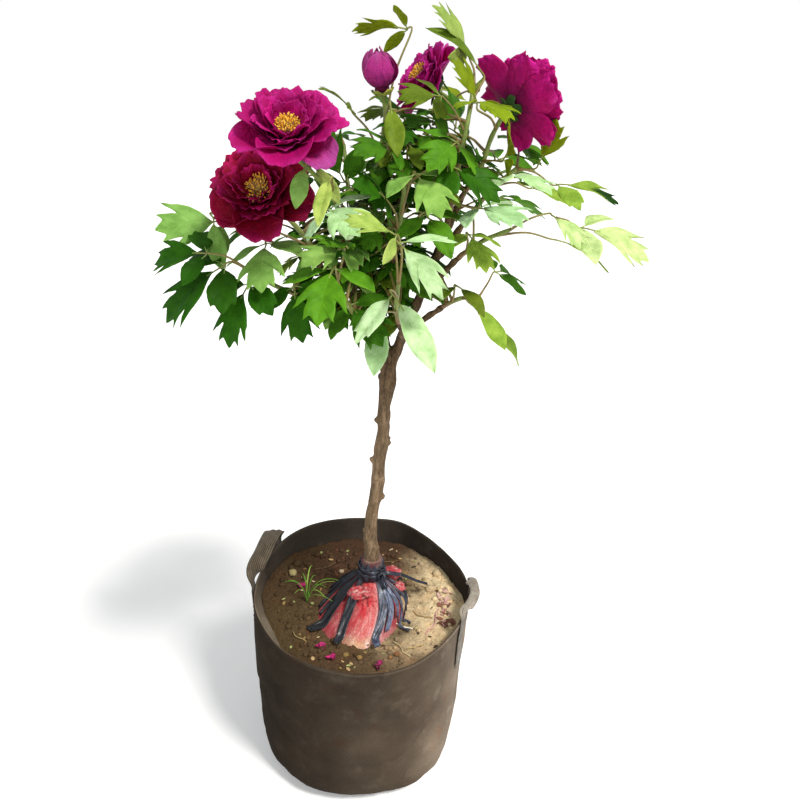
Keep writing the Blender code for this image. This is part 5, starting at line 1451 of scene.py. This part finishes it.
def leaf(pile, draw, spec, start, joint, tip, bow, light=False):
    """A compound leaf, with its face turned a little towards the front where it hangs there."""
    normal = leaf_normal(joint, tip)
    roll = 0.34 * float(blend(np.array(-joint.y), -0.02, 0.06)) if spec.roll is None else spec.roll
    normal = normal.lerp(square_to(FRONT, (tip - joint).normalized()), roll).normalized()
    rib = Rib(joint, tip, normal, LEAF_DROOP)
    tint = srgb(LEAF_TONES[spec.tone]) * draw.uniform(0.88, 1.14)
    foot = rib.at(STALK_END)[0]
    middle = start.lerp(foot, 0.5) + normal * bow * (foot - start).length
    stalk = [start, middle, foot, *(rib.at(part)[0] for part in (-0.15, 0.0, 0.10))]
    stalk = smooth_route(stalk, 3 if light else 5)
    radii = np.linspace(0.0017, 0.0009, len(stalk))
    radii[:3] = (0.0026, 0.0022, 0.0019)
    red = mix(srgb("#7e683c"), srgb("#8a9c4c"), np.linspace(0, 1, len(stalk))[:, None])
    pile.tube(stalk, radii, 5 if light else 6, red, look=2)
    end, beside, plain, columns = (END_FEW, SIDE_FEW, PLAIN_FEW, 2) if light else (
        END_STATIONS, SIDE_STATIONS, PLAIN_STATIONS, 4)
    if spec.broad is None:
        no_lobes, broad = light and draw.random() < 0.35, draw.uniform(1.0, 1.15)
    else:
        no_lobes, broad = spec.plain, spec.broad
    tip_tint = srgb(LEAF_TONES["dark"]) * 0.5 if spec.dark_tip else None
    leaflet(pile, draw, rib, plain if no_lobes else end, tint, broad, columns, tip_tint)
    for sign in SIDES[spec.leaflets]:
        side, at = side_rib(rib, sign, draw.uniform(18, 40))
        stations = plain if draw.random() < 0.55 else beside
        side_tint = tint * draw.uniform(0.92, 1.08)
        side_broad = draw.uniform(0.98, 1.20) * min(broad, 1.0)
        leaflet(pile, draw, side, stations, side_tint, side_broad, columns)
        pile.tube([at, at.lerp(side.joint, 0.5), side.joint, side.at(0.12)[0]],
                  (0.0011, 0.0010, 0.0009, 0.0007), 5, srgb("#8fa85a"), look=2)


def cad_leaf(spec, start, tree):
    """Where the CAD model hung this leaf: its joint, tip and bow, or None if it was left out."""
    joint, chord, normal = spec.joint, spec.tip - spec.joint, leaf_normal(spec.joint, spec.tip)
    side, best, end = chord.cross(normal).normalized(), math.inf, None
    for turn, tilt in TURNS:
        swing = Matrix.Rotation(math.radians(turn), 3, normal) @ Matrix.Rotation(math.radians(tilt), 3, side)
        miss = tree.find(joint + swing @ chord)[2]
        if miss < best - 1e-5:
            best, end = miss, joint + swing @ chord
    if best > SAME_POINT:
        return None
    normal = leaf_normal(joint, end)
    foot = Rib(joint, end, normal, LEAF_DROOP).at(STALK_END)[0]
    found = []
    for bow in BOWS:
        middle = start.lerp(foot, 0.5) + normal * bow * (foot - start).length
        side = (foot - middle).cross(normal).normalized() * STALK_RADIUS
        found.append((sum(tree.find(middle + side * sign)[2] for sign in (-1, 1)), bow))
    return joint, end, min(found)[1]


def leaves_of(name, route):
    """The CAD model's leaves on a shoot: those with a place of their own, then those that follow the rule."""
    leaves = [spec._replace(joint=metres(spec.joint), tip=metres(spec.tip)) for spec in LEAVES.get(name, ())]
    count, heading = RULED_LEAVES.get(name, (0, 0))
    for i in range(count):
        angle = math.radians(heading) + RULED_FAN * (1 - i / count) * (-1) ** i
        out, part = Vector((math.cos(angle), math.sin(angle), 0.0)), (i + 1) / count
        joint = along(route, part) + out * RULED_STALK + Vector((0, 0, RULED_RISE - 0.006 * i))
        tip = joint + (out * 0.92 - Vector((0, 0, 0.39))) * RULED_LEAFLET
        leaves.append(Leaf(part, joint, tip, "three"))
    return leaves


def inner_tones(joint):
    # Leaves low in front draw lighter tones and those further back darker ones: painted light and shade
    if joint.z > 1.06:
        return "mid", "olive", "deep"
    if joint.y < -0.01:
        return "mid", "bright", "olive", "deep", "mid", "pale"
    return "deep", "dark", "mid"


def inner_leaves():
    """More leaves than the CAD model's, where the crown is dense, each on a stalk from the nearest shoot."""
    draw, taken, roots, count = random.Random(91), [], [], 0
    for name in SHOOTS:
        route = [woody(name)[-1], *green(name)]
        roots += [(name, point) for point in smooth_route(route, 8)[2:]]
        taken += [spec.joint.lerp(spec.tip, 0.4) for spec in leaves_of(name, route)]
    seats = [(*bloom_seat(name), BLOOMS[name].reach) for name in BLOOMS] + [(*bloom_seat("bud"), 0.03)]
    found = {name: [] for name in SHOOTS}
    for _ in range(INNER_TRIES):
        middle, sizes = draw.choice(CROWN)
        step = Vector([draw.uniform(-1, 1) for _ in range(3)])
        if step.length > 1:
            continue
        joint = Vector(middle) + Vector([a * b for a, b in zip(step, sizes)])
        heading = math.atan2(joint.y, joint.x - 0.015) + draw.uniform(-0.9, 0.9)
        run = Vector((math.cos(heading), math.sin(heading), -draw.uniform(0.25, 0.85))).normalized()
        tip = joint + run * draw.uniform(0.034, 0.052)
        centre = joint.lerp(tip, 0.4)
        crowded = min((centre - other).length for other in taken) < INNER_SPACING
        in_bloom = any((centre - base - axis * 0.02).length < reach + 0.028 for base, axis, reach in seats)
        # The gap between the two blooms at the left stays open
        if crowded or in_bloom or centre.x < -0.045 and centre.z > 0.99 and centre.y < -0.03:
            continue
        above = [point.z > joint.z + 0.01 for _, point in roots]
        apart = [(point - joint).length for _, point in roots]
        costs = [far + (0.05 if high else 0) for far, high in zip(apart, above)]
        best = costs.index(min(costs))
        if all(above) or not 0.022 < apart[best] < 0.13:
            continue
        taken.append(centre)
        leaflets = draw.choice(("three", "three", "three", "left", "right"))
        bow, (name, stalk) = draw.uniform(0.0, 0.2), roots[best]
        spec = Leaf(None, joint, tip, leaflets, draw.choice(inner_tones(joint)))
        found[name].append((spec, stalk, joint, tip, bow))
        count += 1
        if count == INNER_LEAVES:
            break
    return found


def bloom_seat(name):
    if name == "bud":
        return Vector(BUD_BASE), Vector(BUD_AXIS).normalized()
    return Vector(BLOOMS[name].base), Vector(BLOOMS[name].axis).normalized()


def bloom_frame(name):
    base, axis = bloom_seat(name)
    turn = Vector((0, 0, 1)).rotation_difference(axis)
    return np.array(turn.to_matrix()), np.array(base)


def placed(name, points):
    turn, base = bloom_frame(name)
    return points @ turn.T + base


def sepals(pile, name, draw):
    """The calyx: five rounded green cups close under the petals, and three narrow bracts."""
    # The blooms' calyxes are darkened with painted shade under their petals; the bud's is a paler green
    tones = [srgb(code) for code in (("#7f8f3a", "#a0a84a") if name == "bud" else ("#17300f", "#2a4418"))]
    for i in range(8):
        narrow = i >= 5
        heading = 2 * math.pi * (i + 0.3) / 5 + (0.6 if narrow else 0)
        length = draw.uniform(0.024, 0.034) if narrow else draw.uniform(0.019, 0.023)
        length *= {"bud": 0.62, "bloom_right": 0.66}.get(name, 0.85)
        slim, blunt, fall = (0.26, 0.9, -20) if narrow else (0.95, 0.6, 28)
        s, u = square(10, 9, low=0)
        wide = np.sin(math.pi * (0.10 + 0.80 * s)) ** blunt
        lean = math.radians(100) - math.radians(fall) * s
        radius = 0.004 + length * s * np.sin(lean) * 0.95
        height = -0.0045 + length * s * np.cos(lean) * 0.8 + 0.10 * length * u**2 * wide + 0.004 * s**2
        across = polar(1, heading + math.pi / 2)
        points = polar(radius, heading, height) + (length * slim * 0.5 * wide * u)[..., None] * across
        tone = mix(*tones, draw.random())
        pile.blade(placed(name, points), stacked(s * 3, u), tone, 0.0006, under=1)


def node_tree(name):
    """The CAD node's points, to look the nearest one up."""
    points = cad_points(name)
    tree = KDTree(len(points))
    for i, point in enumerate(points):
        tree.insert(point, i)
    tree.balance()
    return tree


def shoot(name, more):
    pile, draw, bearing = Pile(), random.Random("leaf " + name), name.removeprefix("shoot_")
    before, limb_end = woody(name)[-2:]
    ahead = (limb_end - before).normalized()
    start = limb_end + ahead * GAP
    points = [start, start + ahead * 0.004, *green(name)]
    has_bloom = bearing in (*BLOOMS, "bud")
    if has_bloom:
        base, axis = bloom_seat(bearing)
        points += [base - axis * 0.010, base - axis * (0.002 + GAP), base - axis * GAP]
    leafy = points[:-2] if has_bloom else points
    path = even(smooth_route([start - ahead * 0.004, *points], 6))
    thick = SHOOT_RADIUS + 0.0003
    radii = [thick - 0.0010 * i / len(path) + 0.0002 * math.sin(i * 1.1) for i in range(len(path))]
    if has_bloom:
        radii[-3:] = (0.0042, 0.0060, 0.0078)
    level = np.linspace(0, 1, len(path))[:, None]
    pile.tube(path, radii, 10, mix(srgb("#73583a"), srgb("#75883e"), blend(level, 0.05, 0.6)), look=2)
    if has_bloom:
        sepals(pile, bearing, draw)
    tree, last = node_tree(name), None
    for spec in leaves_of(name, leafy):
        at = last if spec.start is None else along(leafy, spec.start)
        found = cad_leaf(spec, at, tree)
        if found:
            leaf(pile, draw, spec._replace(tone=spec.tone or draw.choice(REAR_TONES)), at, *found)
            last = spec.joint
    for spec in more:
        leaf(pile, draw, *spec, light=True)
    for spec in BLOOM_LEAVES.get(name, ()):
        leaf(pile, draw, spec, along(leafy, spec.start), metres(spec.joint), metres(spec.tip), 0.1)
    pile.piece("leafy_" + name, ["leaf", "leaf_under", "stem"], "leaf", name)


# Blooms: rings of petals with their length and width in parts of the reach (the bud's in metres), their lean
# at claw and tip in degrees, and where on the core the claws are, out and up
Ring = namedtuple("Ring", "count length width claw_lean tip_lean claw_out claw_up")
PETAL_RINGS = (
    Ring(6, 1.00, 0.98, 66, 86, 0.0088, 0.0040), Ring(6, 0.95, 0.90, 54, 72, 0.0088, 0.0070),
    Ring(6, 0.88, 0.80, 42, 58, 0.0086, 0.0095), Ring(6, 0.76, 0.66, 30, 44, 0.0084, 0.0120),
    Ring(6, 0.60, 0.50, 18, 30, 0.0080, 0.0140),
)
BUD_RINGS = (
    Ring(5, 0.053, 0.046, 68, -66, 0.0066, 0.0050), Ring(4, 0.051, 0.038, 54, -60, 0.0060, 0.0080),
    Ring(3, 0.046, 0.030, 38, -44, 0.0050, 0.0110),
)

# How smooth the petals of each ring are, from the outside in, and how loosely they stand, in degrees
CALM = (1.0, 0.6, 0.2, 0.0, 0.0)
LOOSE, MOST_LOOSE = 7, {"bloom_right": 22, "bloom_top": 10}
BUD_SEED = 13


def petal_outline(draw, s, u, phase, calm, bud):
    """How far along the petal each row reaches, with its ragged edge, and how broad the petal is there."""
    ragged = 0.5 + 0.5 * np.sin(7.5 * u + phase[0]) * np.sin(3.1 * u + phase[1])
    shallow, split, split_at = draw.uniform(0.05, 0.13), draw.uniform(0.0, 0.10), draw.uniform(-0.3, 0.3)
    notch = (shallow * ragged + split * np.exp(-(u - split_at) ** 2 / 0.02)) * (1.15 - 0.65 * calm)
    if bud:
        shape = 0.22 + 0.78 * np.sin(math.pi * np.clip(0.05 + 0.78 * s, 0, 1))
        reach = s * (1 - 0.22 * u**2 - 0.3 * notch * s**3)
    else:
        shape = 0.16 + 0.84 * np.sin(math.pi / 2 * np.clip(s / 0.62, 0, 1)) ** 1.1
        reach = s * (1 - 0.16 * u**2 - notch * s**3)
    return reach, shape * (1 - 0.20 * np.clip((s - 0.62) / 0.38, 0, 1) ** 2)


def petal_tint(draw, name, s, u, phase, calm, lilac):
    base, edge = (srgb(code) for code in BLOOM_TINTS[name])
    pale = blend(s + 0.10 * np.sin(6 * u + phase[0]), 0.70, 1.05) * draw.uniform(0.3, 1.0)
    # The claw is darker, partly the petal's own colour and partly painted shade in the heart of the bloom
    dark = 1 - 0.45 * np.exp(-(s / 0.25) ** 2)
    # The bloom at the right, seen from behind, gets painted shade deep in its middle
    if name == "bloom_right":
        dark = dark * (1 - 0.65 * np.exp(-(s / 0.42) ** 2))
    # The outer petals of the lower bloom get painted shadow from the bloom above
    if name == "bloom_lower_left":
        dark = dark * (1.0 - 0.70 * calm + 0.20 * blend(s, 0.8, 1.0))
    tint = mix(base, edge, pale[..., None]) * dark[..., None] * draw.uniform(0.82, 1.18)
    return mix(tint, srgb("#8c5496"), (lilac * 0.7 * blend(s, 0.40, 0.90))[..., None])


BLOOM_TINTS = {
    "bloom_upper_left": ("#a80464", "#bf2486"), "bloom_lower_left": ("#8a022c", "#a8125e"),
    "bloom_top": ("#b80a76", "#c838a4"), "bloom_right": ("#ac0062", "#c8188c"), "bud": ("#a02a74", "#c064a4"),
}

# How much shorter the inner petals are on the side that is open to the front
OPEN_SIDE = {"bloom_upper_left": 0.52, "bloom_lower_left": 0.40, "bloom_top": 0.10, "bloom_right": 0.0}

# Where each bloom has a drooping lilac petal, as a direction from its middle
LILAC = {"bloom_upper_left": (0.80, 0.0, -0.40), "bloom_lower_left": (-0.75, 0.1, 0.6),
         "bloom_right": (-0.70, 0.65, -0.05)}


def petal(pile, draw, name, ring, azimuth, calm, lilac):
    """One petal; calm is 0 for a crinkled one to 1 for a smooth one, and a lilac one droops a little."""
    bud, loose = name == "bud", MOST_LOOSE.get(name, LOOSE)
    leans = (ring.claw_lean, ring.tip_lean)
    low, high = (math.radians(lean + draw.uniform(-loose, loose)) for lean in leans)
    high += math.radians(20) * lilac
    length = ring.length * (draw.uniform(0.90, 1.05) - 0.14 * lilac)
    width = ring.width * (draw.uniform(0.88, 1.08) - 0.14 * lilac)
    s, u = square(16, 15, low=0)
    phase = [draw.uniform(0, 6.28) for _ in range(4)]
    reach, breadth = petal_outline(draw, s, u, phase, calm, bud)
    # The rib is an arc from the claw's lean to the tip's
    swell = high - low if abs(high - low) > 0.02 else 0.02
    lean = low + swell * reach
    radius = ring.claw_out + length * (math.cos(low) - np.cos(lean)) / swell
    height = ring.claw_up + length * (np.sin(lean) - math.sin(low)) / swell
    # Across it, the petal is cupped, and its edge is frilled
    half, cup = 0.5 * width * breadth, 0.030 if bud else 0.036
    side = cup * np.sin(half * u / cup)
    rise = cup * (1 - np.cos(half * u / cup)) + 0.0020 * u * np.minimum(1, 2 * s)
    rise = rise + draw.uniform(-0.005, 0.005) * (0 if bud else 1) * u * s
    frill = 0.0026 * s**2 * np.sin(5.0 * u + phase[2] + 2 * s) + 0.0022 * s**5 * np.sin(13 * u + phase[3])
    frill = frill + 0.0012 * s * np.sin(9 * s + phase[1] + 3 * u)
    rise = rise + (0.45 if bud else 1.25 - 0.75 * calm) * length / 0.065 * frill
    points = polar(radius - np.cos(lean) * rise, azimuth, height + np.sin(lean) * rise)
    points = points + side[..., None] * polar(1, azimuth + math.pi / 2)
    tint = petal_tint(draw, name, s, u, phase, calm, lilac)
    pile.blade(placed(name, points), stacked(s, u * 0.5 + 0.5), tint, 0.00035, under=1)


def petal_habit(name, number, heading, out):
    """How large, slim, calm and lilac a petal is, by its ring, its heading from the front and where it is."""
    size, slim, calm, lilac = 1.0, 1.0, CALM[number], 0.0
    if name == "bud":
        return size, slim, calm, lilac
    if number:
        size = 1 - OPEN_SIDE[name] * float(blend(np.array(math.cos(heading)), 0.0, 0.8))
    else:
        slim = 1.15
        if name in LILAC:
            lilac = float(blend(np.dot(out, unit(np.array(LILAC[name]))), 0.72, 0.95))
    if name == "bloom_lower_left":
        calm *= 0.45
    if name == "bloom_right":
        # Seen from behind, its outer petals stand apart, with longer ones at the left
        arm = number == 0 and out[0] < -0.45
        size *= 1.28 if arm else 0.92 if number == 0 else 1.0
        calm, slim = calm * 0.2, 0.62 if arm else 0.80 if number == 0 else 1.0
    return size, slim, calm, lilac


def bloom(name):
    bud = name == "bud"
    seed, reach = (BUD_SEED, 1.0) if bud else (BLOOMS[name].seed * 5, BLOOMS[name].reach)
    pile, draw, turn = Pile(), random.Random(seed), bloom_frame(name)[0]
    front = turn.T @ np.array((0.0, -1.0, 0.0))
    front = math.atan2(front[1], front[0])
    for number, ring in enumerate(BUD_RINGS if bud else PETAL_RINGS):
        for i in range(ring.count):
            azimuth = front + 2 * math.pi * (i + 0.37 * number) / ring.count + draw.uniform(-0.10, 0.10)
            out = turn @ polar(1, azimuth)
            # The bloom at the right has none of its outer petals at the lower left
            if name == "bloom_right" and number < 2 and out[0] < -0.10 and out[2] < -0.20:
                continue
            size, slim, calm, lilac = petal_habit(name, number, azimuth - front, out)
            length, width = ring.length * reach * size, ring.width * reach * slim * (0.5 + 0.5 * size)
            petal(pile, draw, name, ring._replace(length=length, width=width), azimuth, calm, lilac)
    # The receptacle that carries them
    level = np.linspace(0, 1, 7)
    core = placed(name, polar(0, 0, CORE_TOP * level))
    pile.tube([Vector(point) for point in core], 0.0100 - 0.0032 * level**2, 14, srgb("#5c0f38"))
    pile.piece(name + "_petals", ["petal", "petal_back"], "petal", name)


# Each stamen cluster's filament length and most lean in degrees, and the angle from one stamen to the next
TUFTS = {"bloom_upper_left": (0.016, 34), "bloom_lower_left": (0.021, 52), "bloom_top": (0.022, 40),
         "bloom_right": (0.017, 36)}
STAMENS, STAMEN_TURN = 110, 2.39996


def stamen(pile, draw, name, number):
    """One filament and its anther."""
    length, most = TUFTS[name]
    part = math.sqrt((number + 0.5) / STAMENS)
    heading = number * STAMEN_TURN + draw.uniform(-0.2, 0.2)
    lean = math.radians(most * part + draw.uniform(-5, 5))
    root = polar(0.0065 * part, heading, CORE_TOP - 0.002 + 0.004 * (1 - part**2))
    run = polar(math.sin(lean), heading, math.cos(lean)) * (length * draw.uniform(0.72, 1.0))
    bend = polar(0.0012 * draw.uniform(-1, 1), heading)
    stops = placed(name, np.array((root, root + run * 0.5 + bend, root + run)))
    middle, tip = (Vector(point) for point in stops[1:])
    pile.tube(smooth_route(stops, 2), 0.00028, 5, srgb("#e8c98a"))
    aim = (tip - middle).normalized() + Vector([draw.uniform(-0.4, 0.4) for _ in range(3)])
    aim = aim.normalized() * draw.uniform(0.0017, 0.0026)
    tone = mix(srgb("#d99a20"), srgb("#f5cf5e"), draw.random())
    anther = [tip + aim * place for place in (-1.0, -0.6, 0.0, 0.6, 1.0)]
    pile.tube(anther, (0.0003, 0.0008, 0.00095, 0.0008, 0.0003), 6, tone)


def stamens(name):
    pile, draw = Pile(), random.Random(BLOOMS[name].seed + 1)
    for number in range(STAMENS):
        stamen(pile, draw, name, number)
    # Five carpels stand on a low dome
    floor = CORE_TOP - 0.001
    for i in range(5):
        carpel = placed(name, polar(0.0022, 2 * math.pi * i / 5, floor + 0.012 * np.array((0, 0.3, 0.7, 1))))
        pile.tube([Vector(point) for point in carpel], (0.0018, 0.0022, 0.0014, 0.0006), 8, srgb("#b9b06a"))
    dome = placed(name, polar(0, 0, floor + np.array((0, 0.0015, 0.0035, 0.0045))))
    pile.tube([Vector(point) for point in dome], (0.0068, 0.0064, 0.004, 0.001), 16, srgb("#8c1f4a"))
    node = "stamens" + name.removeprefix("bloom")
    pile.piece(node + "_golden", ["stamen"], "stamen", node)


# The grass tuft: heading in degrees, length and spread of the CAD blades and of finer ones among them
GRASS_ROOT = (-0.104, -0.006)
GRASS = (
    (-15, 0.060, 0.036), (80, 0.075, 0.034), (190, 0.062, 0.040), (20, 0.050, 0.050), (-40, 0.055, 0.046),
    (48, 0.066, 0.020), (120, 0.058, 0.030), (160, 0.048, 0.038), (230, 0.052, 0.030), (-70, 0.046, 0.026),
    (5, 0.066, 0.056), (-28, 0.040, 0.056),
)


def grass(tree):
    pile, draw, up = Pile(), random.Random(71), np.array((0, 0, 1))
    foot = np.array((*GRASS_ROOT, ground_at(tree, *GRASS_ROOT) - 0.002))
    t, v = np.linspace(0, 1, 14)[:, None], np.array((-1, 0, 1))
    for heading, length, spread in GRASS:
        angle = math.radians(heading)
        out, across = polar(1, angle), polar(1, angle + math.pi / 2)
        root = foot + out * 0.0015 + across * draw.uniform(-0.002, 0.002)
        half = 0.0008 * (0.8 + 0.5 * np.sin(math.pi * np.clip(t * 1.1, 0, 1))) * (1 - t**3) + 0.0001
        twist = 0.6 * t * draw.uniform(-1, 1)
        centre = root + out * spread * t**1.7 + up * 0.8 * length * np.sin(0.62 * math.pi * t)
        side = (across * np.cos(twist) + up * np.sin(twist)) * half
        points = centre[:, None] + side[:, None] * v[:, None] + up * 0.0006 * abs(v)[:, None]
        tone = mix(srgb("#3f7a26"), srgb("#86a848"), draw.random())
        pile.blade(points, stacked(t * 3, v), tone, 0.0003, under=1)
    pile.piece("grass_blades", ["leaf", "leaf_under"], "grass", "grass_tuft")


# Camera, light and floor
SUN_FROM, SUN_STRENGTH = (1.15, -0.90, 2.30), 3.5
FILL_AT, FILL_TARGET, FILL_SIZE, FILL_POWER = (-0.7, -2.4, 2.3), (0.0, 0.0, 0.9), 1.8, 22.0
FLOOR_REACH = 15


def camera():
    data = bpy.data.cameras.new("camera")
    data.lens, data.sensor_width, data.clip_end = CAMERA_LENS, 36.0, 50.0
    made = linked("camera", data)
    ahead, right = Vector((0, math.cos(CAMERA_PITCH), -math.sin(CAMERA_PITCH))), Vector((1, 0, 0))
    up, cos, sin = right.cross(ahead), math.cos(CAMERA_ROLL), math.sin(CAMERA_ROLL)
    turn = Matrix((right * cos + up * sin, up * cos - right * sin, -ahead)).transposed()
    made.matrix_world = Matrix.Translation(CAMERA_AT) @ turn.to_4x4()
    bpy.context.scene.camera = made


def backdrop():
    """The backdrop itself shows white, and lights the plant less."""
    world = bpy.data.worlds.new("soft white")
    world.use_nodes = True
    nodes, links = world.node_tree.nodes, world.node_tree.links
    back, sky = nodes["Background"], nodes.new("ShaderNodeBackground")
    back.inputs["Color"].default_value = (1.0, 1.0, 1.0, 1.0)
    sky.inputs["Color"].default_value = (0.95, 0.98, 1.0, 1.0)
    sky.inputs["Strength"].default_value = 0.50
    seen, join = nodes.new("ShaderNodeLightPath"), nodes.new("ShaderNodeMixShader")
    links.new(seen.outputs["Is Camera Ray"], join.inputs[0])
    links.new(sky.outputs[0], join.inputs[1])
    links.new(back.outputs[0], join.inputs[2])
    links.new(join.outputs[0], nodes["World Output"].inputs["Surface"])
    bpy.context.scene.world = world


def lights():
    sun = bpy.data.lights.new("sun", "SUN")
    sun.energy, sun.angle, sun.color = SUN_STRENGTH, math.radians(14), (1.0, 0.97, 0.92)
    fill = bpy.data.lights.new("fill", "AREA")
    fill.size, fill.energy, fill.color = FILL_SIZE, FILL_POWER, (1.0, 1.0, 1.0)
    lamp, panel = linked("sun", sun), linked("fill", fill)
    lamp.rotation_mode = panel.rotation_mode = "QUATERNION"
    lamp.rotation_quaternion = Vector(SUN_FROM).to_track_quat("Z", "Y")
    panel.location = FILL_AT
    panel.rotation_quaternion = (Vector(FILL_TARGET) - Vector(FILL_AT)).to_track_quat("-Z", "Y")


def studio_floor():
    corners = [(x * FLOOR_REACH, y * FLOOR_REACH, 0) for x, y in ((-1, -1), (1, -1), (1, 1), (-1, 1))]
    mesh = bpy.data.meshes.new("floor")
    mesh.from_pydata(corners, [], [(0, 1, 2, 3)])
    look = Look("pale_floor", roughness=0.9, specular=0.1)
    pale = look.ramp(look.noise(2.0), (0.3, (0.86, 0.86, 0.86)), (0.7, (0.90, 0.90, 0.90)))
    look.put(look.inputs["Base Color"], pale)
    look.put(look.inputs["Emission Color"], (1.0, 1.0, 1.0, 1.0))
    look.put(look.inputs["Emission Strength"], 0.16)
    mesh.materials.append(look.material)
    floor = linked("floor", mesh)


LOOKS = {
    "leaf": leaf_look("leaf_face", False), "leaf_under": leaf_look("leaf_underside", True),
    "petal": petal_look("silky_petal", False), "petal_back": petal_look("petal_back", True),
    "bark": bark_look(), "felt": felt_look(), "webbing": webbing_look(), "soil": soil_look(),
    "net": net_look(), "tape": tape_look(),
    "stem": speckled_look(
        "green_stem", 0.5, 0.4, ((0.3, (0.75, 0.72, 0.7)), (0.7, (1.15, 1.12, 1.1))), {"scale": 70.0},
        {"scale": 500.0, "stretch": (1, 1, 0.15)}, 0.0006, 0.5),
    "stamen": speckled_look(
        "pollen", 0.8, 0.2, ((0.3, (0.75, 0.68, 0.5)), (0.7, (1.2, 1.15, 1.1))), {"scale": 600.0},
        {"scale": 2500.0}, 0.0005, 0.7),
    "bits": speckled_look(
        "small_bits", 0.7, 0.3, ((0.3, (0.65, 0.62, 0.6)), (0.7, (1.25, 1.22, 1.2))),
        {"scale": 350.0, "detail": 5.0}, {"scale": 900.0}, 0.0008, 0.6),
}


def main():
    camera()
    backdrop()
    lights()
    studio_floor()
    bpy.context.scene.view_settings.view_transform = "Standard"
    grow_bag()
    for name in HANDLES:
        strap(name)
    ground = soil_ground()
    tree = clods(ground)
    litter(tree)
    root_ball()
    tie_and_strips()
    wood()
    for name in (*BLOOMS, "bud"):
        bloom(name)
    for name in BLOOMS:
        stamens(name)
    more = inner_leaves()
    for name in SHOOTS:
        shoot(name, more[name])
    grass(tree)


main()
